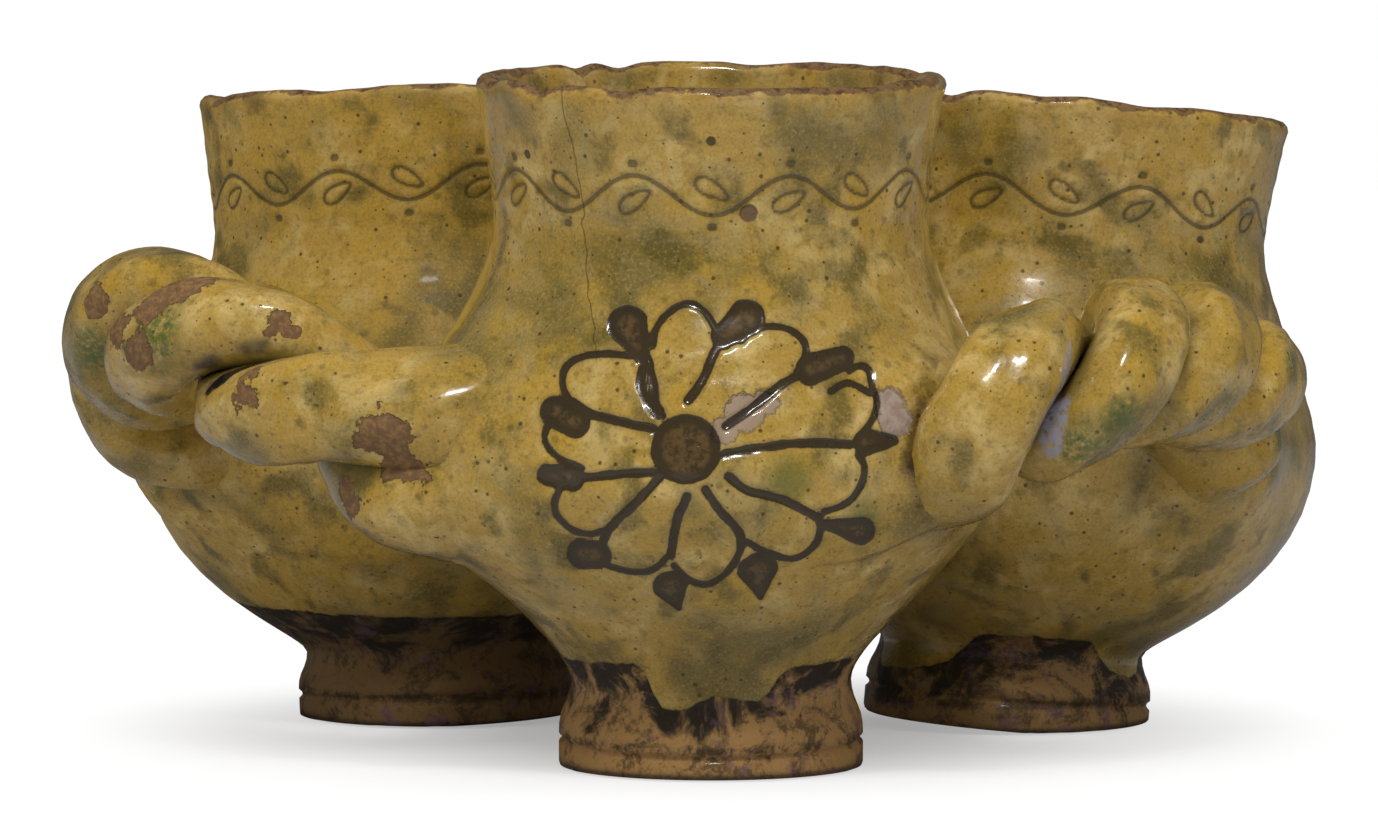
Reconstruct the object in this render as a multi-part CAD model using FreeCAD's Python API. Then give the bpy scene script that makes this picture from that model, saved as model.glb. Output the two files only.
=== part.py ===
"""Three-cup drinking puzzle in slipware: three small thrown cups joined at the belly, with a passage through
each join, and three handles of two clay ropes twisted together, each rooted on two neighbouring cups.

Millimetres, +Z up. The table is z = 0. The cups lean outwards a little, so each foot rests on its worn edge.
The origin is on the table, in the middle of the vessel's outline.
"""

import FreeCAD, Part
import math
import os

Vector = FreeCAD.Vector

# Places of the three feet on the table, measured from the origin.
FRONT_FOOT_X = 1.63
FRONT_FOOT_Y = -51.14
RIGHT_FOOT_X = 49.13
RIGHT_FOOT_Y = 11.86
LEFT_FOOT_X = -41.87
LEFT_FOOT_Y = 21.86

# Which way each cup faces, as an angle from +X, and how far its top leans that way, in degrees.
FRONT_FACING = -90.0
RIGHT_FACING = 22.0
LEFT_FACING = 153.0
FRONT_LEAN = 3.2
RIGHT_LEAN = 5.3
LEFT_LEAN = 2.8

# Heights are along each cup's own axis. The front cup has the taller foot and the slimmer bowl.
FRONT_HEIGHT = 104.8
RIGHT_HEIGHT = 100.2
LEFT_HEIGHT = 102.4
FRONT_RIM_RADIUS = 35.0
RIGHT_RIM_RADIUS = 36.9
LEFT_RIM_RADIUS = 34.6
FRONT_NECK_RADIUS = 32.8
RIGHT_NECK_RADIUS = 35.2
LEFT_NECK_RADIUS = 33.3
FRONT_NECK_HEIGHT = 82.5
RIGHT_NECK_HEIGHT = 80.0
LEFT_NECK_HEIGHT = 80.0
FRONT_BELLY_RADIUS = 44.5
RIGHT_BELLY_RADIUS = 46.0
LEFT_BELLY_RADIUS = 46.5
FRONT_BELLY_HEIGHT = 48.5
RIGHT_BELLY_HEIGHT = 46.5
LEFT_BELLY_HEIGHT = 46.5
FRONT_WAIST_HEIGHT = 13.5
RIGHT_WAIST_HEIGHT = 12.4
LEFT_WAIST_HEIGHT = 11.5
FRONT_FULLNESS = 14.0
RIGHT_FULLNESS = 23.0
LEFT_FULLNESS = 23.8
FRONT_FOOT_SWEEP = 7.0
RIGHT_FOOT_SWEEP = 3.0
LEFT_FOOT_SWEEP = 3.0

# Sizes that the three cups share.
WAIST_RADIUS = 21.5
FOOT_RADIUS = 22.9
FOOT_BEAD_HEIGHT = 4.0
FOOT_GROOVE_DEPTH = 0.6
FOOT_GROOVE_WIDTH = 1.6
FOOT_EDGE_RADIUS = 1.2
FOOT_WEAR = 0.6
WALL = 5.0
RIM_WALL = 3.2
FLOOR = 10.0
UPPER_FULLNESS = 10.0
NECK_SWEEP = 9.0
LIP_SWEEP = 7.0
HOLLOW_DEPTH = 14.0
HOLLOW_REACH = 14.0

# Joins between the cups: a wad of luting clay, and the passage that lets the drink through.
LUTE_GAP = 1.4
LUTE_COLLAR = 4.0
LUTE_LEAST_RADIUS = 14.0
PASSAGE_RADIUS = 6.0

# Handles. Each leaves one cup and lands on the next one round. A root's turn is measured from the way its
# cup faces, and its heading from straight out. Reach and rise say how strongly the handle swings that way.
# The phase is where the first rope starts round the handle, and the turns are how often the ropes twist along
# it. The tightening is how much faster they twist at the handle's start than halfway.
RIGHT_START_TURN = 52.0
RIGHT_START_HEIGHT = 52.0
RIGHT_START_HEADING = 22.0
RIGHT_START_REACH = 26.0
RIGHT_START_RISE = 14.0
RIGHT_END_TURN = -74.0
RIGHT_END_HEIGHT = 52.5
RIGHT_END_HEADING = -50.0
RIGHT_END_REACH = 22.0
RIGHT_END_RISE = 12.0
RIGHT_PHASE = -50.0
RIGHT_TURNS = 1.9
RIGHT_TIGHTENING = 0.2
LEFT_START_TURN = 64.0
LEFT_START_HEIGHT = 47.5
LEFT_START_HEADING = 14.0
LEFT_START_REACH = 25.6
LEFT_START_RISE = 31.0
LEFT_END_TURN = -65.0
LEFT_END_HEIGHT = 47.5
LEFT_END_HEADING = -24.6
LEFT_END_REACH = 33.4
LEFT_END_RISE = 15.5
LEFT_PHASE = 20.0
LEFT_TURNS = 2.2
LEFT_TIGHTENING = 0.45
BACK_START_TURN = 60.0
BACK_START_HEIGHT = 48.0
BACK_START_HEADING = 25.0
BACK_START_REACH = 30.0
BACK_START_RISE = 20.0
BACK_END_TURN = -60.0
BACK_END_HEIGHT = 46.0
BACK_END_HEADING = -25.0
BACK_END_REACH = 28.0
BACK_END_RISE = 18.0
BACK_PHASE = 20.0
BACK_TURNS = 2.6
BACK_TIGHTENING = 0.0

# The two ropes of a handle.
ROPE_THICK = 13.0
ROPE_WIDE = 18.5
ROPE_CONTACT = 9.0
ROPE_CLEARANCE = 0.3
ROOT_DEPTH = 9.0
ROOT_FLARE = 0.12
FLARE_LENGTH = 9.0
SECTIONS_PER_TURN = 18

# Pads of clay thumbed down round each root.
PAD_HEIGHT = 2.6
PAD_CURVE = 25.0

# How far a curve's handles reach towards the corner, for a quarter of an oval.
ROUND = 0.5523

# How far the table's block runs, wider than the vessel.
TABLE = 400.0

PARTS = "parts"


class Cup:
    """One thrown cup: its sizes and its place."""

    def __init__(self, foot, facing, lean, height, rim, neck, neck_height, belly, belly_height, waist_height,
                 fullness, foot_sweep):
        self.foot = foot
        self.facing = facing
        self.lean = lean
        self.height = height
        self.rim = rim
        self.neck = neck
        self.neck_height = neck_height
        self.belly = belly
        self.belly_height = belly_height
        self.waist_height = waist_height
        self.fullness = fullness
        self.foot_sweep = foot_sweep

    def place(self, shape):
        """Leans a shape made on the Z axis, and stands it at this cup's place on the table."""
        across = Vector(-math.sin(math.radians(self.facing)), math.cos(math.radians(self.facing)), 0)
        turn = FreeCAD.Rotation(across, self.lean)
        stand = Vector(self.foot.x, self.foot.y, -FOOT_WEAR)
        shape.Placement = FreeCAD.Placement(stand, turn).multiply(shape.Placement)
        return shape

    def point(self, x, y, z):
        """Where a point of the upright cup lies on the standing one."""
        return self.place(Part.Vertex(x, y, z)).Point

    def centre(self):
        """The middle of the belly."""
        return self.point(0, 0, self.belly_height)

    def root(self, turn, height):
        """A point on the belly, turned from the cup's face, and the way straight out from it on the table."""
        angle = math.radians(self.facing + turn)
        outwards = Vector(math.cos(angle), math.sin(angle), 0)
        middle = self.point(0, 0, height)
        return middle + outwards * self.belly, angle


def flat(radius, height):
    """A point of a cup's profile."""
    return Vector(radius, 0, height)


def curve(*poles):
    """A smooth stretch of a profile."""
    bend = Part.BezierCurve()
    bend.setPoles(list(poles))
    return bend.toShape()


def line(start, end):
    return Part.LineSegment(start, end).toShape()


def arc(start, middle, end):
    return Part.Arc(start, middle, end).toShape()


def quarter(start, corner, end):
    """A quarter of an oval, from start to end, inside the corner."""
    return curve(start, start + (corner - start) * ROUND, end + (corner - end) * ROUND, end)


def foot_edges(cup):
    """The foot's profile, from the axis out along the base and up to the waist."""
    base = flat(0, 0)
    edge_in = flat(FOOT_RADIUS - FOOT_EDGE_RADIUS, 0)
    share = FOOT_EDGE_RADIUS * (1 - math.sqrt(0.5))
    edge_middle = flat(FOOT_RADIUS - share, share)
    edge_out = flat(FOOT_RADIUS, FOOT_EDGE_RADIUS)
    groove_low = flat(FOOT_RADIUS, FOOT_BEAD_HEIGHT)
    groove_deep = flat(FOOT_RADIUS - FOOT_GROOVE_DEPTH, FOOT_BEAD_HEIGHT + FOOT_GROOVE_WIDTH / 2)
    groove_high = flat(FOOT_RADIUS, FOOT_BEAD_HEIGHT + FOOT_GROOVE_WIDTH)
    waist = flat(WAIST_RADIUS, cup.waist_height)
    sweep = (cup.waist_height - groove_high.z) / 2
    return [
        line(base, edge_in),
        arc(edge_in, edge_middle, edge_out),
        line(edge_out, groove_low),
        arc(groove_low, groove_deep, groove_high),
        curve(groove_high, groove_high + Vector(0, 0, sweep), waist - Vector(0, 0, sweep), waist),
    ]


def body_edges(cup):
    """The outside of the bowl, from the waist over the belly and the neck to the rim."""
    waist = flat(WAIST_RADIUS, cup.waist_height)
    belly = flat(cup.belly, cup.belly_height)
    neck = flat(cup.neck, cup.neck_height)
    rim = flat(cup.rim, cup.height - RIM_WALL / 2)
    lip = rim - Vector((cup.rim - cup.neck) / 4, 0, LIP_SWEEP)
    up = Vector(0, 0, 1)
    return [
        curve(waist, waist + up * cup.foot_sweep, belly - up * cup.fullness, belly),
        curve(belly, belly + up * UPPER_FULLNESS, neck - up * NECK_SWEEP, neck),
        curve(neck, neck + up * LIP_SWEEP, lip, rim),
    ]


def hollow_edges(cup):
    """The inside of the bowl, from the rim's inner edge down to the floor at the axis."""
    rim = flat(cup.rim - RIM_WALL, cup.height - RIM_WALL / 2)
    neck = flat(cup.neck - WALL, cup.neck_height)
    belly = flat(cup.belly - WALL, cup.belly_height)
    floor = flat(0, FLOOR)
    lip = rim - Vector((cup.rim - cup.neck) / 4, 0, LIP_SWEEP)
    up = Vector(0, 0, 1)
    out = Vector(1, 0, 0)
    return [
        curve(rim, lip, neck + up * LIP_SWEEP, neck),
        curve(neck, neck - up * NECK_SWEEP, belly + up * UPPER_FULLNESS, belly),
        curve(belly, belly - up * HOLLOW_DEPTH, floor + out * HOLLOW_REACH, floor),
    ]


def spun(edges):
    """The solid that a closed profile sweeps round the Z axis."""
    face = Part.Face(Part.Wire(edges))
    return face.revolve(Vector(0, 0, 0), Vector(0, 0, 1), 360)


def outside_form(cup):
    """The cup with no hollow, standing in its place: what a neighbour is pressed against."""
    top = cup.height - RIM_WALL / 2
    edges = foot_edges(cup) + body_edges(cup)
    edges.append(line(flat(cup.rim, top), flat(0, top)))
    edges.append(line(flat(0, top), flat(0, 0)))
    return cup.place(spun(edges))


def thrown_cup(cup):
    """The hollow cup as it came off the wheel, standing in its place."""
    top = cup.height - RIM_WALL / 2
    outer = flat(cup.rim, top)
    crown = flat(cup.rim - RIM_WALL / 2, cup.height)
    inner = flat(cup.rim - RIM_WALL, top)
    edges = foot_edges(cup) + body_edges(cup) + [arc(outer, crown, inner)] + hollow_edges(cup)
    edges.append(line(flat(0, FLOOR), flat(0, 0)))
    return cup.place(spun(edges))


class Join:
    """Where two neighbouring bellies are pressed together."""

    def __init__(self, first, second):
        start = first.centre()
        end = second.centre()
        apart = (end - start).Length
        pressed = (first.belly + second.belly - apart) / 2
        self.along = (end - start).normalize()
        self.middle = start + self.along * (first.belly - pressed)
        self.flat_radius = math.sqrt(max(first.belly ** 2 - (first.belly - pressed) ** 2, 0))

    def rod(self, radius, length):
        """A round bar through the join."""
        return Part.makeCylinder(radius, length, self.middle - self.along * (length / 2), self.along)

    def pressed_off(self, side):
        """What the join takes off a belly. side is 1 for the first cup and -1 for the second."""
        size = 2 * self.flat_radius + WALL
        start = self.middle - self.along * (side * LUTE_GAP / 2)
        return Part.makeCylinder(size, size, start, self.along * side)

    def wad(self):
        """The luting clay before the cups are pressed into it."""
        radius = max(self.flat_radius + LUTE_COLLAR, LUTE_LEAST_RADIUS)
        return self.rod(radius, 2 * radius)

    def passage(self):
        """The hole through the wad and both walls."""
        return self.rod(PASSAGE_RADIUS, 2 * (2 * WALL + LUTE_GAP))


class Root:
    """Where a handle springs from a cup, and how it swings away from it."""

    def __init__(self, cup, turn, height, heading, reach, rise):
        angle = math.radians(cup.facing + turn)
        swing = angle + math.radians(heading)
        self.cup = cup
        self.outwards = Vector(math.cos(angle), math.sin(angle), 0)
        self.point = cup.point(0, 0, height) + self.outwards * cup.belly
        self.pole = self.point + Vector(reach * math.cos(swing), reach * math.sin(swing), rise)

    def pad(self):
        """The clay thumbed down round the root: a low dome, still uncut."""
        return Part.makeSphere(PAD_CURVE, self.point - self.outwards * (PAD_CURVE - PAD_HEIGHT))


class Handle:
    """A handle of two twisted ropes, from one root to another."""

    def __init__(self, start, end, phase, turns, tightening):
        self.path = Part.BezierCurve()
        self.path.setPoles([start.point, start.pole, end.pole, end.point])
        self.length = self.path.length()
        self.phase = phase
        self.turns = turns
        self.tightening = tightening

    def axis(self, distance):
        """A point of the handle's middle line, and its direction there. Both ends run on straight."""
        inside = min(max(distance, 0.0), self.length)
        at = self.path.parameterAtDistance(inside)
        point = self.path.value(at)
        along = self.path.tangent(at)[0].normalize()
        return point + along * (distance - inside), along

    def section(self, distance, side):
        """One rope's cut across the handle: rounded, with a flat where it is pressed on the other. side is 0 or 1."""
        middle, along = self.axis(distance)
        across = along.cross(Vector(0, 0, 1)).normalize()
        above = across.cross(along)
        share = distance / self.length
        twist = self.turns * (share + self.tightening * share * (1 - share))
        angle = math.radians(self.phase) + 2 * math.pi * twist + math.pi * side
        out = across * math.cos(angle) + above * math.sin(angle)
        wide = above * math.cos(angle) - across * math.sin(angle)
        near_end = max(min(distance, self.length - distance), 0)
        flare = 1 + ROOT_FLARE * math.exp(-near_end / FLARE_LENGTH)
        thick = out * ROPE_THICK * flare
        half = wide * (ROPE_WIDE / 2 * flare)
        contact = wide * (ROPE_CONTACT / 2 * flare)
        face = middle + out * (ROPE_CLEARANCE / 2)
        crown = face + thick
        low = face + thick / 2 - half
        high = face + thick / 2 + half
        return Part.Wire([
            line(face + contact, face - contact),
            quarter(face - contact, face - half, low),
            quarter(low, crown - half, crown),
            quarter(crown, crown + half, high),
            quarter(high, face + half, face + contact),
        ])

    def rope(self, side):
        """One of the two ropes, running into both cups."""
        span = self.length + 2 * ROOT_DEPTH
        count = math.ceil(self.turns * SECTIONS_PER_TURN * span / self.length)
        cuts = [self.section(-ROOT_DEPTH + span * n / count, side) for n in range(count + 1)]
        return Part.makeLoft(cuts, True, True)


def trimmed(shape, tools):
    """The main solid that is left when each tool in turn is cut away, without the slivers."""
    for tool in tools:
        rest = shape.cut(tool)
        shape = max(rest.Solids, key=lambda solid: solid.Volume)
    return shape


def save(name, shape):
    """Writes one piece, after a check that it is a sound closed solid."""
    if not shape.isValid():
        raise ValueError(name + " is not a valid solid")
    shape.exportStep(os.path.join(PARTS, name + ".step"))
    box = shape.BoundBox
    print(f"{name}: {shape.Volume / 1000:.1f} cm3, {box.XLength:.1f} x {box.YLength:.1f} x {box.ZLength:.1f} mm")


def make_cups():
    """The three cups, by name."""
    return {
        "front": Cup(Vector(FRONT_FOOT_X, FRONT_FOOT_Y, 0), FRONT_FACING, FRONT_LEAN, FRONT_HEIGHT,
                     FRONT_RIM_RADIUS, FRONT_NECK_RADIUS, FRONT_NECK_HEIGHT, FRONT_BELLY_RADIUS,
                     FRONT_BELLY_HEIGHT, FRONT_WAIST_HEIGHT, FRONT_FULLNESS, FRONT_FOOT_SWEEP),
        "right": Cup(Vector(RIGHT_FOOT_X, RIGHT_FOOT_Y, 0), RIGHT_FACING, RIGHT_LEAN, RIGHT_HEIGHT,
                     RIGHT_RIM_RADIUS, RIGHT_NECK_RADIUS, RIGHT_NECK_HEIGHT, RIGHT_BELLY_RADIUS,
                     RIGHT_BELLY_HEIGHT, RIGHT_WAIST_HEIGHT, RIGHT_FULLNESS, RIGHT_FOOT_SWEEP),
        "left": Cup(Vector(LEFT_FOOT_X, LEFT_FOOT_Y, 0), LEFT_FACING, LEFT_LEAN, LEFT_HEIGHT,
                    LEFT_RIM_RADIUS, LEFT_NECK_RADIUS, LEFT_NECK_HEIGHT, LEFT_BELLY_RADIUS,
                    LEFT_BELLY_HEIGHT, LEFT_WAIST_HEIGHT, LEFT_FULLNESS, LEFT_FOOT_SWEEP),
    }


def make_handles(cups):
    """Each handle's two roots and its first twist, by name."""
    return {
        "right_handle": (
            Root(cups["front"], RIGHT_START_TURN, RIGHT_START_HEIGHT, RIGHT_START_HEADING,
                 RIGHT_START_REACH, RIGHT_START_RISE),
            Root(cups["right"], RIGHT_END_TURN, RIGHT_END_HEIGHT, RIGHT_END_HEADING,
                 RIGHT_END_REACH, RIGHT_END_RISE),
            RIGHT_PHASE, RIGHT_TURNS, RIGHT_TIGHTENING),
        "back_handle": (
            Root(cups["right"], BACK_START_TURN, BACK_START_HEIGHT, BACK_START_HEADING,
                 BACK_START_REACH, BACK_START_RISE),
            Root(cups["left"], BACK_END_TURN, BACK_END_HEIGHT, BACK_END_HEADING,
                 BACK_END_REACH, BACK_END_RISE),
            BACK_PHASE, BACK_TURNS, BACK_TIGHTENING),
        "left_handle": (
            Root(cups["left"], LEFT_START_TURN, LEFT_START_HEIGHT, LEFT_START_HEADING,
                 LEFT_START_REACH, LEFT_START_RISE),
            Root(cups["front"], LEFT_END_TURN, LEFT_END_HEIGHT, LEFT_END_HEADING,
                 LEFT_END_REACH, LEFT_END_RISE),
            LEFT_PHASE, LEFT_TURNS, LEFT_TIGHTENING),
    }


def build():
    """Makes every piece and writes it."""
    os.makedirs(PARTS, exist_ok=True)
    cups = make_cups()
    pairs = [("front", "right"), ("right", "left"), ("left", "front")]
    joins = {pair: Join(cups[pair[0]], cups[pair[1]]) for pair in pairs}
    under = Part.makeBox(TABLE, TABLE, TABLE, Vector(-TABLE / 2, -TABLE / 2, -TABLE))

    forms = {}
    for name, cup in cups.items():
        pressed = [join.pressed_off(1 if name == pair[0] else -1) for pair, join in joins.items() if name in pair]
        passages = [join.passage() for pair, join in joins.items() if name in pair]
        forms[name] = trimmed(outside_form(cup), pressed)
        save(name + "_cup", trimmed(thrown_cup(cup), pressed + passages + [under]))

    for (first, second), join in joins.items():
        save(first + "_" + second + "_lute", trimmed(join.wad(), [forms[first], forms[second], join.passage()]))

    for name, (start, end, phase, turns, tightening) in make_handles(cups).items():
        handle = Handle(start, end, phase, turns, tightening)
        bodies = [forms[cup_name] for cup_name, cup in cups.items() if cup in (start.cup, end.cup)]
        pads = [start.pad(), end.pad()]
        save(name + "_rope_a", trimmed(handle.rope(0), pads + bodies))
        save(name + "_rope_b", trimmed(handle.rope(1), pads + bodies))
        for label, dome in zip(("start_pad", "end_pad"), pads):
            save(name + "_" + label, trimmed(dome, bodies))


build()
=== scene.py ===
"""Three-cup drinking puzzle in slipware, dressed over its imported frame.

Three thrown cups, joined at the belly, carry three handles of two twisted clay ropes. The sizes below are in
millimetres, as the frame's pieces were drawn. A finished mesh is in metres.
"""

import math

import bmesh
import bpy
from bpy.props import FloatProperty, FloatVectorProperty, PointerProperty
from mathutils import Matrix, Vector, kdtree, noise


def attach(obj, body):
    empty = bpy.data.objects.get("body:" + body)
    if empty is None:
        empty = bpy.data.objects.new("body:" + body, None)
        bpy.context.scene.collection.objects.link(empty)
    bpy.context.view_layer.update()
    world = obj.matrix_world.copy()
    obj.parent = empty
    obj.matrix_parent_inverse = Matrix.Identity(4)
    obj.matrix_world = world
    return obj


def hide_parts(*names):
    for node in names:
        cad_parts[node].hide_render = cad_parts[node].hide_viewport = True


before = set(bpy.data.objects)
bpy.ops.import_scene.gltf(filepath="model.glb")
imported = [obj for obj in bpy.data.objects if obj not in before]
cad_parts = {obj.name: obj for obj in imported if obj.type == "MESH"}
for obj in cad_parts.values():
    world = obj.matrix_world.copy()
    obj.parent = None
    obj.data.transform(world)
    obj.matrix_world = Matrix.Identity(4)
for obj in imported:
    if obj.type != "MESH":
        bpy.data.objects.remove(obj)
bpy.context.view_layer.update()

bl_info = {
    "name": "Slipware puzzle cups",
    "version": (1, 0, 0),
    "blender": (4, 5, 0),
    "location": "View3D > Sidebar > Pottery",
    "description": "Builds three joined slipware cups with twisted rope handles",
    "category": "Add Mesh",
}

METRES = 0.001
UP = Vector((0, 0, 1))

# Sizes that the three cups share.
WAIST_RADIUS = 21.5
FOOT_RADIUS = 22.9
FOOT_BEAD_HEIGHT = 4.0
FOOT_GROOVE_DEPTH = 0.6
FOOT_GROOVE_WIDTH = 1.6
FOOT_EDGE_RADIUS = 1.2
FOOT_WEAR = 0.6
WALL = 5.0
RIM_WALL = 3.2
FLOOR = 10.0
UPPER_FULLNESS = 10.0
NECK_SWEEP = 9.0
LIP_SWEEP = 7.0
HOLLOW_DEPTH = 14.0
HOLLOW_REACH = 14.0

# Joins between the cups: the gap that a wad fills between two pressed walls, how far it stands out round
# them, how far it laps over both and how much it is waisted, its surface's lumps, and the drinking passage
# with the wall kept between it and the hollow.
LUTE_GAP = 1.4
LUTE_COLLAR = 4.0
LUTE_LEAST_RADIUS = 14.0
LUTE_OVERLAP = 1.6
LUTE_WAIST = 1.3
LUTE_ROWS = 6
LUTE_LUMP = 0.5
LUTE_TUCK = 0.3
PASSAGE_RADIUS = 6.0
LEAST_WALL = 2.5

# How finely the walls, the wads and the ropes are divided, and how close points are taken as one.
ROW = 1.3
SPIN_STEPS = 216
FLAT_ROW = 4.0
LUTE_STEPS = 72
ROPE_ROWS = 230
ONE_POINT = 0.001

# The wall's relief: where it grows above the plain foot, how far under the rim it fades, the top that keeps
# it inside the frame's pieces, and how fast its lumps and its rings follow each other. Then the rim's wear:
# how far under the rim it begins and is full, and how much it takes off.
RELIEF_GROWS = (7, 14)
RELIEF_FADES = (4, 1.6)
RELIEF_TOP = 0.35
LUMP_RATE = 0.028
RING_RATE = 1.55
WEAR_REACH = (9, 1)
RIM_WEAR = 0.35

# Roots: how far a rope runs on past its root, how deep it then lies under the wall, and between which
# distances past the root it sinks.
ROOT_DEPTH = 15.0
BURIED = 3.0
ROOT_SINK = (-4, 11)

# How a rope swells towards its root, and the thumbed pad under it.
ROOT_FLARE = 0.12
FLARE_LENGTH = 9.0
PAD_HEIGHT = 2.0
PAD_WIDTH = 12.0

# Where a wall swells towards a rope: how much of the rope's line counts, out to what distance from the root,
# and how far the rope's surface is from that line.
ROOT_LINE = 16
ROOT_REACH = 45
ROPE_HEART = 7.2

# How much a rope is drawn in, so that its lumps stay inside the frame's pieces.
ROPE_TUCK = 0.25

# The photograph's view: where the lens stands, and how long it is.
CAMERA_PLACE = (-1.67, -981.1, 105.6)
CAMERA_PITCH = 3.3
CAMERA_LENS = 162.05
CAMERA_SENSOR = 36.0

# The stage, in metres: half the floor's side, how far it is under the feet, and the lamps. Each lamp is its
# name, place, size, power and whether the gloss shows it. All are aimed at one place.
FLOOR_REACH = 4.0
FLOOR_DROP = 0.0003
LAMPS = (("spark", (0.03, -0.85, 1.10), (0.17, 0.08), 2.6, True),
         ("key", (-0.05, -0.85, 1.15), (0.5, 0.4), 5.6, False),
         ("left", (-1.10, -0.70, 0.70), (0.9, 0.7), 3.8, False),
         ("right", (1.00, -0.80, 0.60), (0.7, 0.6), 3.0, False),
         ("top", (-0.10, 0.30, 1.20), (0.9, 0.7), 4.6, False))
LAMPS_AIM = Vector((0, -0.02, 0.05))

# How far from the middle, in millimetres, the floor starts to fade to plain white, and is white.
FADE_NEAR = 20.0
FADE_FAR = 125.0


class Cup:
    """One thrown cup: its sizes, its place and its own wear."""

    def __init__(self, name, foot, facing, lean, height, rim, neck, neck_height, belly, belly_height,
                 waist_height, fullness, foot_sweep, notches, slip, seed):
        self.name = name
        self.facing = facing
        self.height = height
        self.rim = rim
        self.neck = neck
        self.neck_height = neck_height
        self.belly = belly
        self.belly_height = belly_height
        self.waist_height = waist_height
        self.fullness = fullness
        self.foot_sweep = foot_sweep
        self.notches = notches
        self.slip = slip
        self.foot = foot
        self.seed = seed
        angle = math.radians(facing)
        across = Vector((-math.sin(angle), math.cos(angle), 0))
        stand = Matrix.Translation((foot[0], foot[1], -FOOT_WEAR))
        self.place = stand @ Matrix.Rotation(math.radians(lean), 4, across)
        self.back = self.place.inverted()
        self.wall = self.outside()
        self.table = sorted((z, r) for r, z in self.wall if z > FOOT_EDGE_RADIUS)

    def outside(self):
        """The outer profile as radius and height, from the base's edge to the rim's outer edge."""
        low = FOOT_BEAD_HEIGHT
        high = FOOT_BEAD_HEIGHT + FOOT_GROOVE_WIDTH
        sweep = (self.waist_height - high) / 2
        top = self.height - RIM_WALL / 2
        lip = (self.rim - (self.rim - self.neck) / 4, top - LIP_SWEEP)
        groove = [(FOOT_RADIUS - FOOT_GROOVE_DEPTH * math.sin(math.pi * n / 4),
                   low + FOOT_GROOVE_WIDTH * n / 4) for n in range(1, 4)]
        edge = [(FOOT_RADIUS - FOOT_EDGE_RADIUS * (1 - math.sin(math.pi * n / 8)),
                 FOOT_EDGE_RADIUS * (1 - math.cos(math.pi * n / 8))) for n in range(5)]
        foot = bezier((FOOT_RADIUS, high), (FOOT_RADIUS, high + sweep),
                      (WAIST_RADIUS, self.waist_height - sweep), (WAIST_RADIUS, self.waist_height))
        bowl = bezier((WAIST_RADIUS, self.waist_height), (WAIST_RADIUS, self.waist_height + self.foot_sweep),
                      (self.belly, self.belly_height - self.fullness), (self.belly, self.belly_height))
        shoulder = bezier((self.belly, self.belly_height), (self.belly, self.belly_height + UPPER_FULLNESS),
                          (self.neck, self.neck_height - NECK_SWEEP), (self.neck, self.neck_height))
        collar = bezier((self.neck, self.neck_height), (self.neck, self.neck_height + LIP_SWEEP),
                        lip, (self.rim, top))
        return (even(edge, ROW / 2) + even([(FOOT_RADIUS, FOOT_EDGE_RADIUS), (FOOT_RADIUS, low)], ROW)[1:]
                + groove + even(foot, ROW) + even(bowl, ROW)[1:] + even(shoulder, ROW)[1:]
                + even(collar, ROW)[1:])

    def inside(self):
        """The inner profile, from the rim's inner edge to the floor's middle."""
        top = self.height - RIM_WALL / 2
        neck = self.neck - WALL
        belly = self.belly - WALL
        rim = self.rim - RIM_WALL
        collar = bezier((rim, top), (rim - (self.rim - self.neck) / 4, top - LIP_SWEEP),
                        (neck, self.neck_height + LIP_SWEEP), (neck, self.neck_height))
        shoulder = bezier((neck, self.neck_height), (neck, self.neck_height - NECK_SWEEP),
                          (belly, self.belly_height + UPPER_FULLNESS), (belly, self.belly_height))
        bowl = bezier((belly, self.belly_height), (belly, self.belly_height - HOLLOW_DEPTH),
                      (HOLLOW_REACH, FLOOR), (0, FLOOR))
        return even(collar, 2 * ROW) + even(shoulder, 2 * ROW)[1:] + even(bowl, 2 * ROW)[1:]

    def radius(self, height):
        """The outer wall's radius at a height."""
        return read_off(self.table, height)

    def centre(self):
        """The middle of the belly, as it stands."""
        return self.place @ Vector((0, 0, self.belly_height))

    def above_wall(self, point):
        """How far a point stands out from the wall, and where it is on the upright cup."""
        local = self.back @ point
        return math.hypot(local.x, local.y) - self.radius(local.z), local


def read_off(table, x):
    """A table's value at x: straight between its rows and level beyond its ends."""
    if x <= table[0][0]:
        return table[0][1]
    for (x0, y0), (x1, y1) in zip(table, table[1:]):
        if x <= x1:
            return y0 + (y1 - y0) * (x - x0) / max(x1 - x0, 1e-6)
    return table[-1][1]


def bezier(start, leave, arrive, end, count=48):
    """Points of a smooth curve."""
    points = []
    for n in range(count + 1):
        t = n / count
        s = 1 - t
        weights = (s ** 3, 3 * s * s * t, 3 * s * t * t, t ** 3)
        points.append(tuple(sum(w * p[k] for w, p in zip(weights, (start, leave, arrive, end)))
                            for k in range(len(start))))
    return points


def even(points, step):
    """The same line with points about one step apart, ends kept."""
    lengths = [0.0]
    for a, b in zip(points, points[1:]):
        lengths.append(lengths[-1] + math.dist(a, b))
    count = max(1, round(lengths[-1] / step))
    result = []
    k = 0
    for n in range(count + 1):
        goal = lengths[-1] * n / count
        while k < len(points) - 2 and lengths[k + 1] < goal:
            k += 1
        share = (goal - lengths[k]) / max(lengths[k + 1] - lengths[k], 1e-9)
        result.append(tuple(a + (b - a) * share for a, b in zip(points[k], points[k + 1])))
    return result


def smooth(value, low, high):
    """A soft step from 0 at low to 1 at high."""
    t = min(max((value - low) / (high - low), 0.0), 1.0)
    return t * t * (3 - 2 * t)


def bump(value, width):
    """A soft hump, 1 at zero."""
    return math.exp(-(value / width) ** 2)


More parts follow.
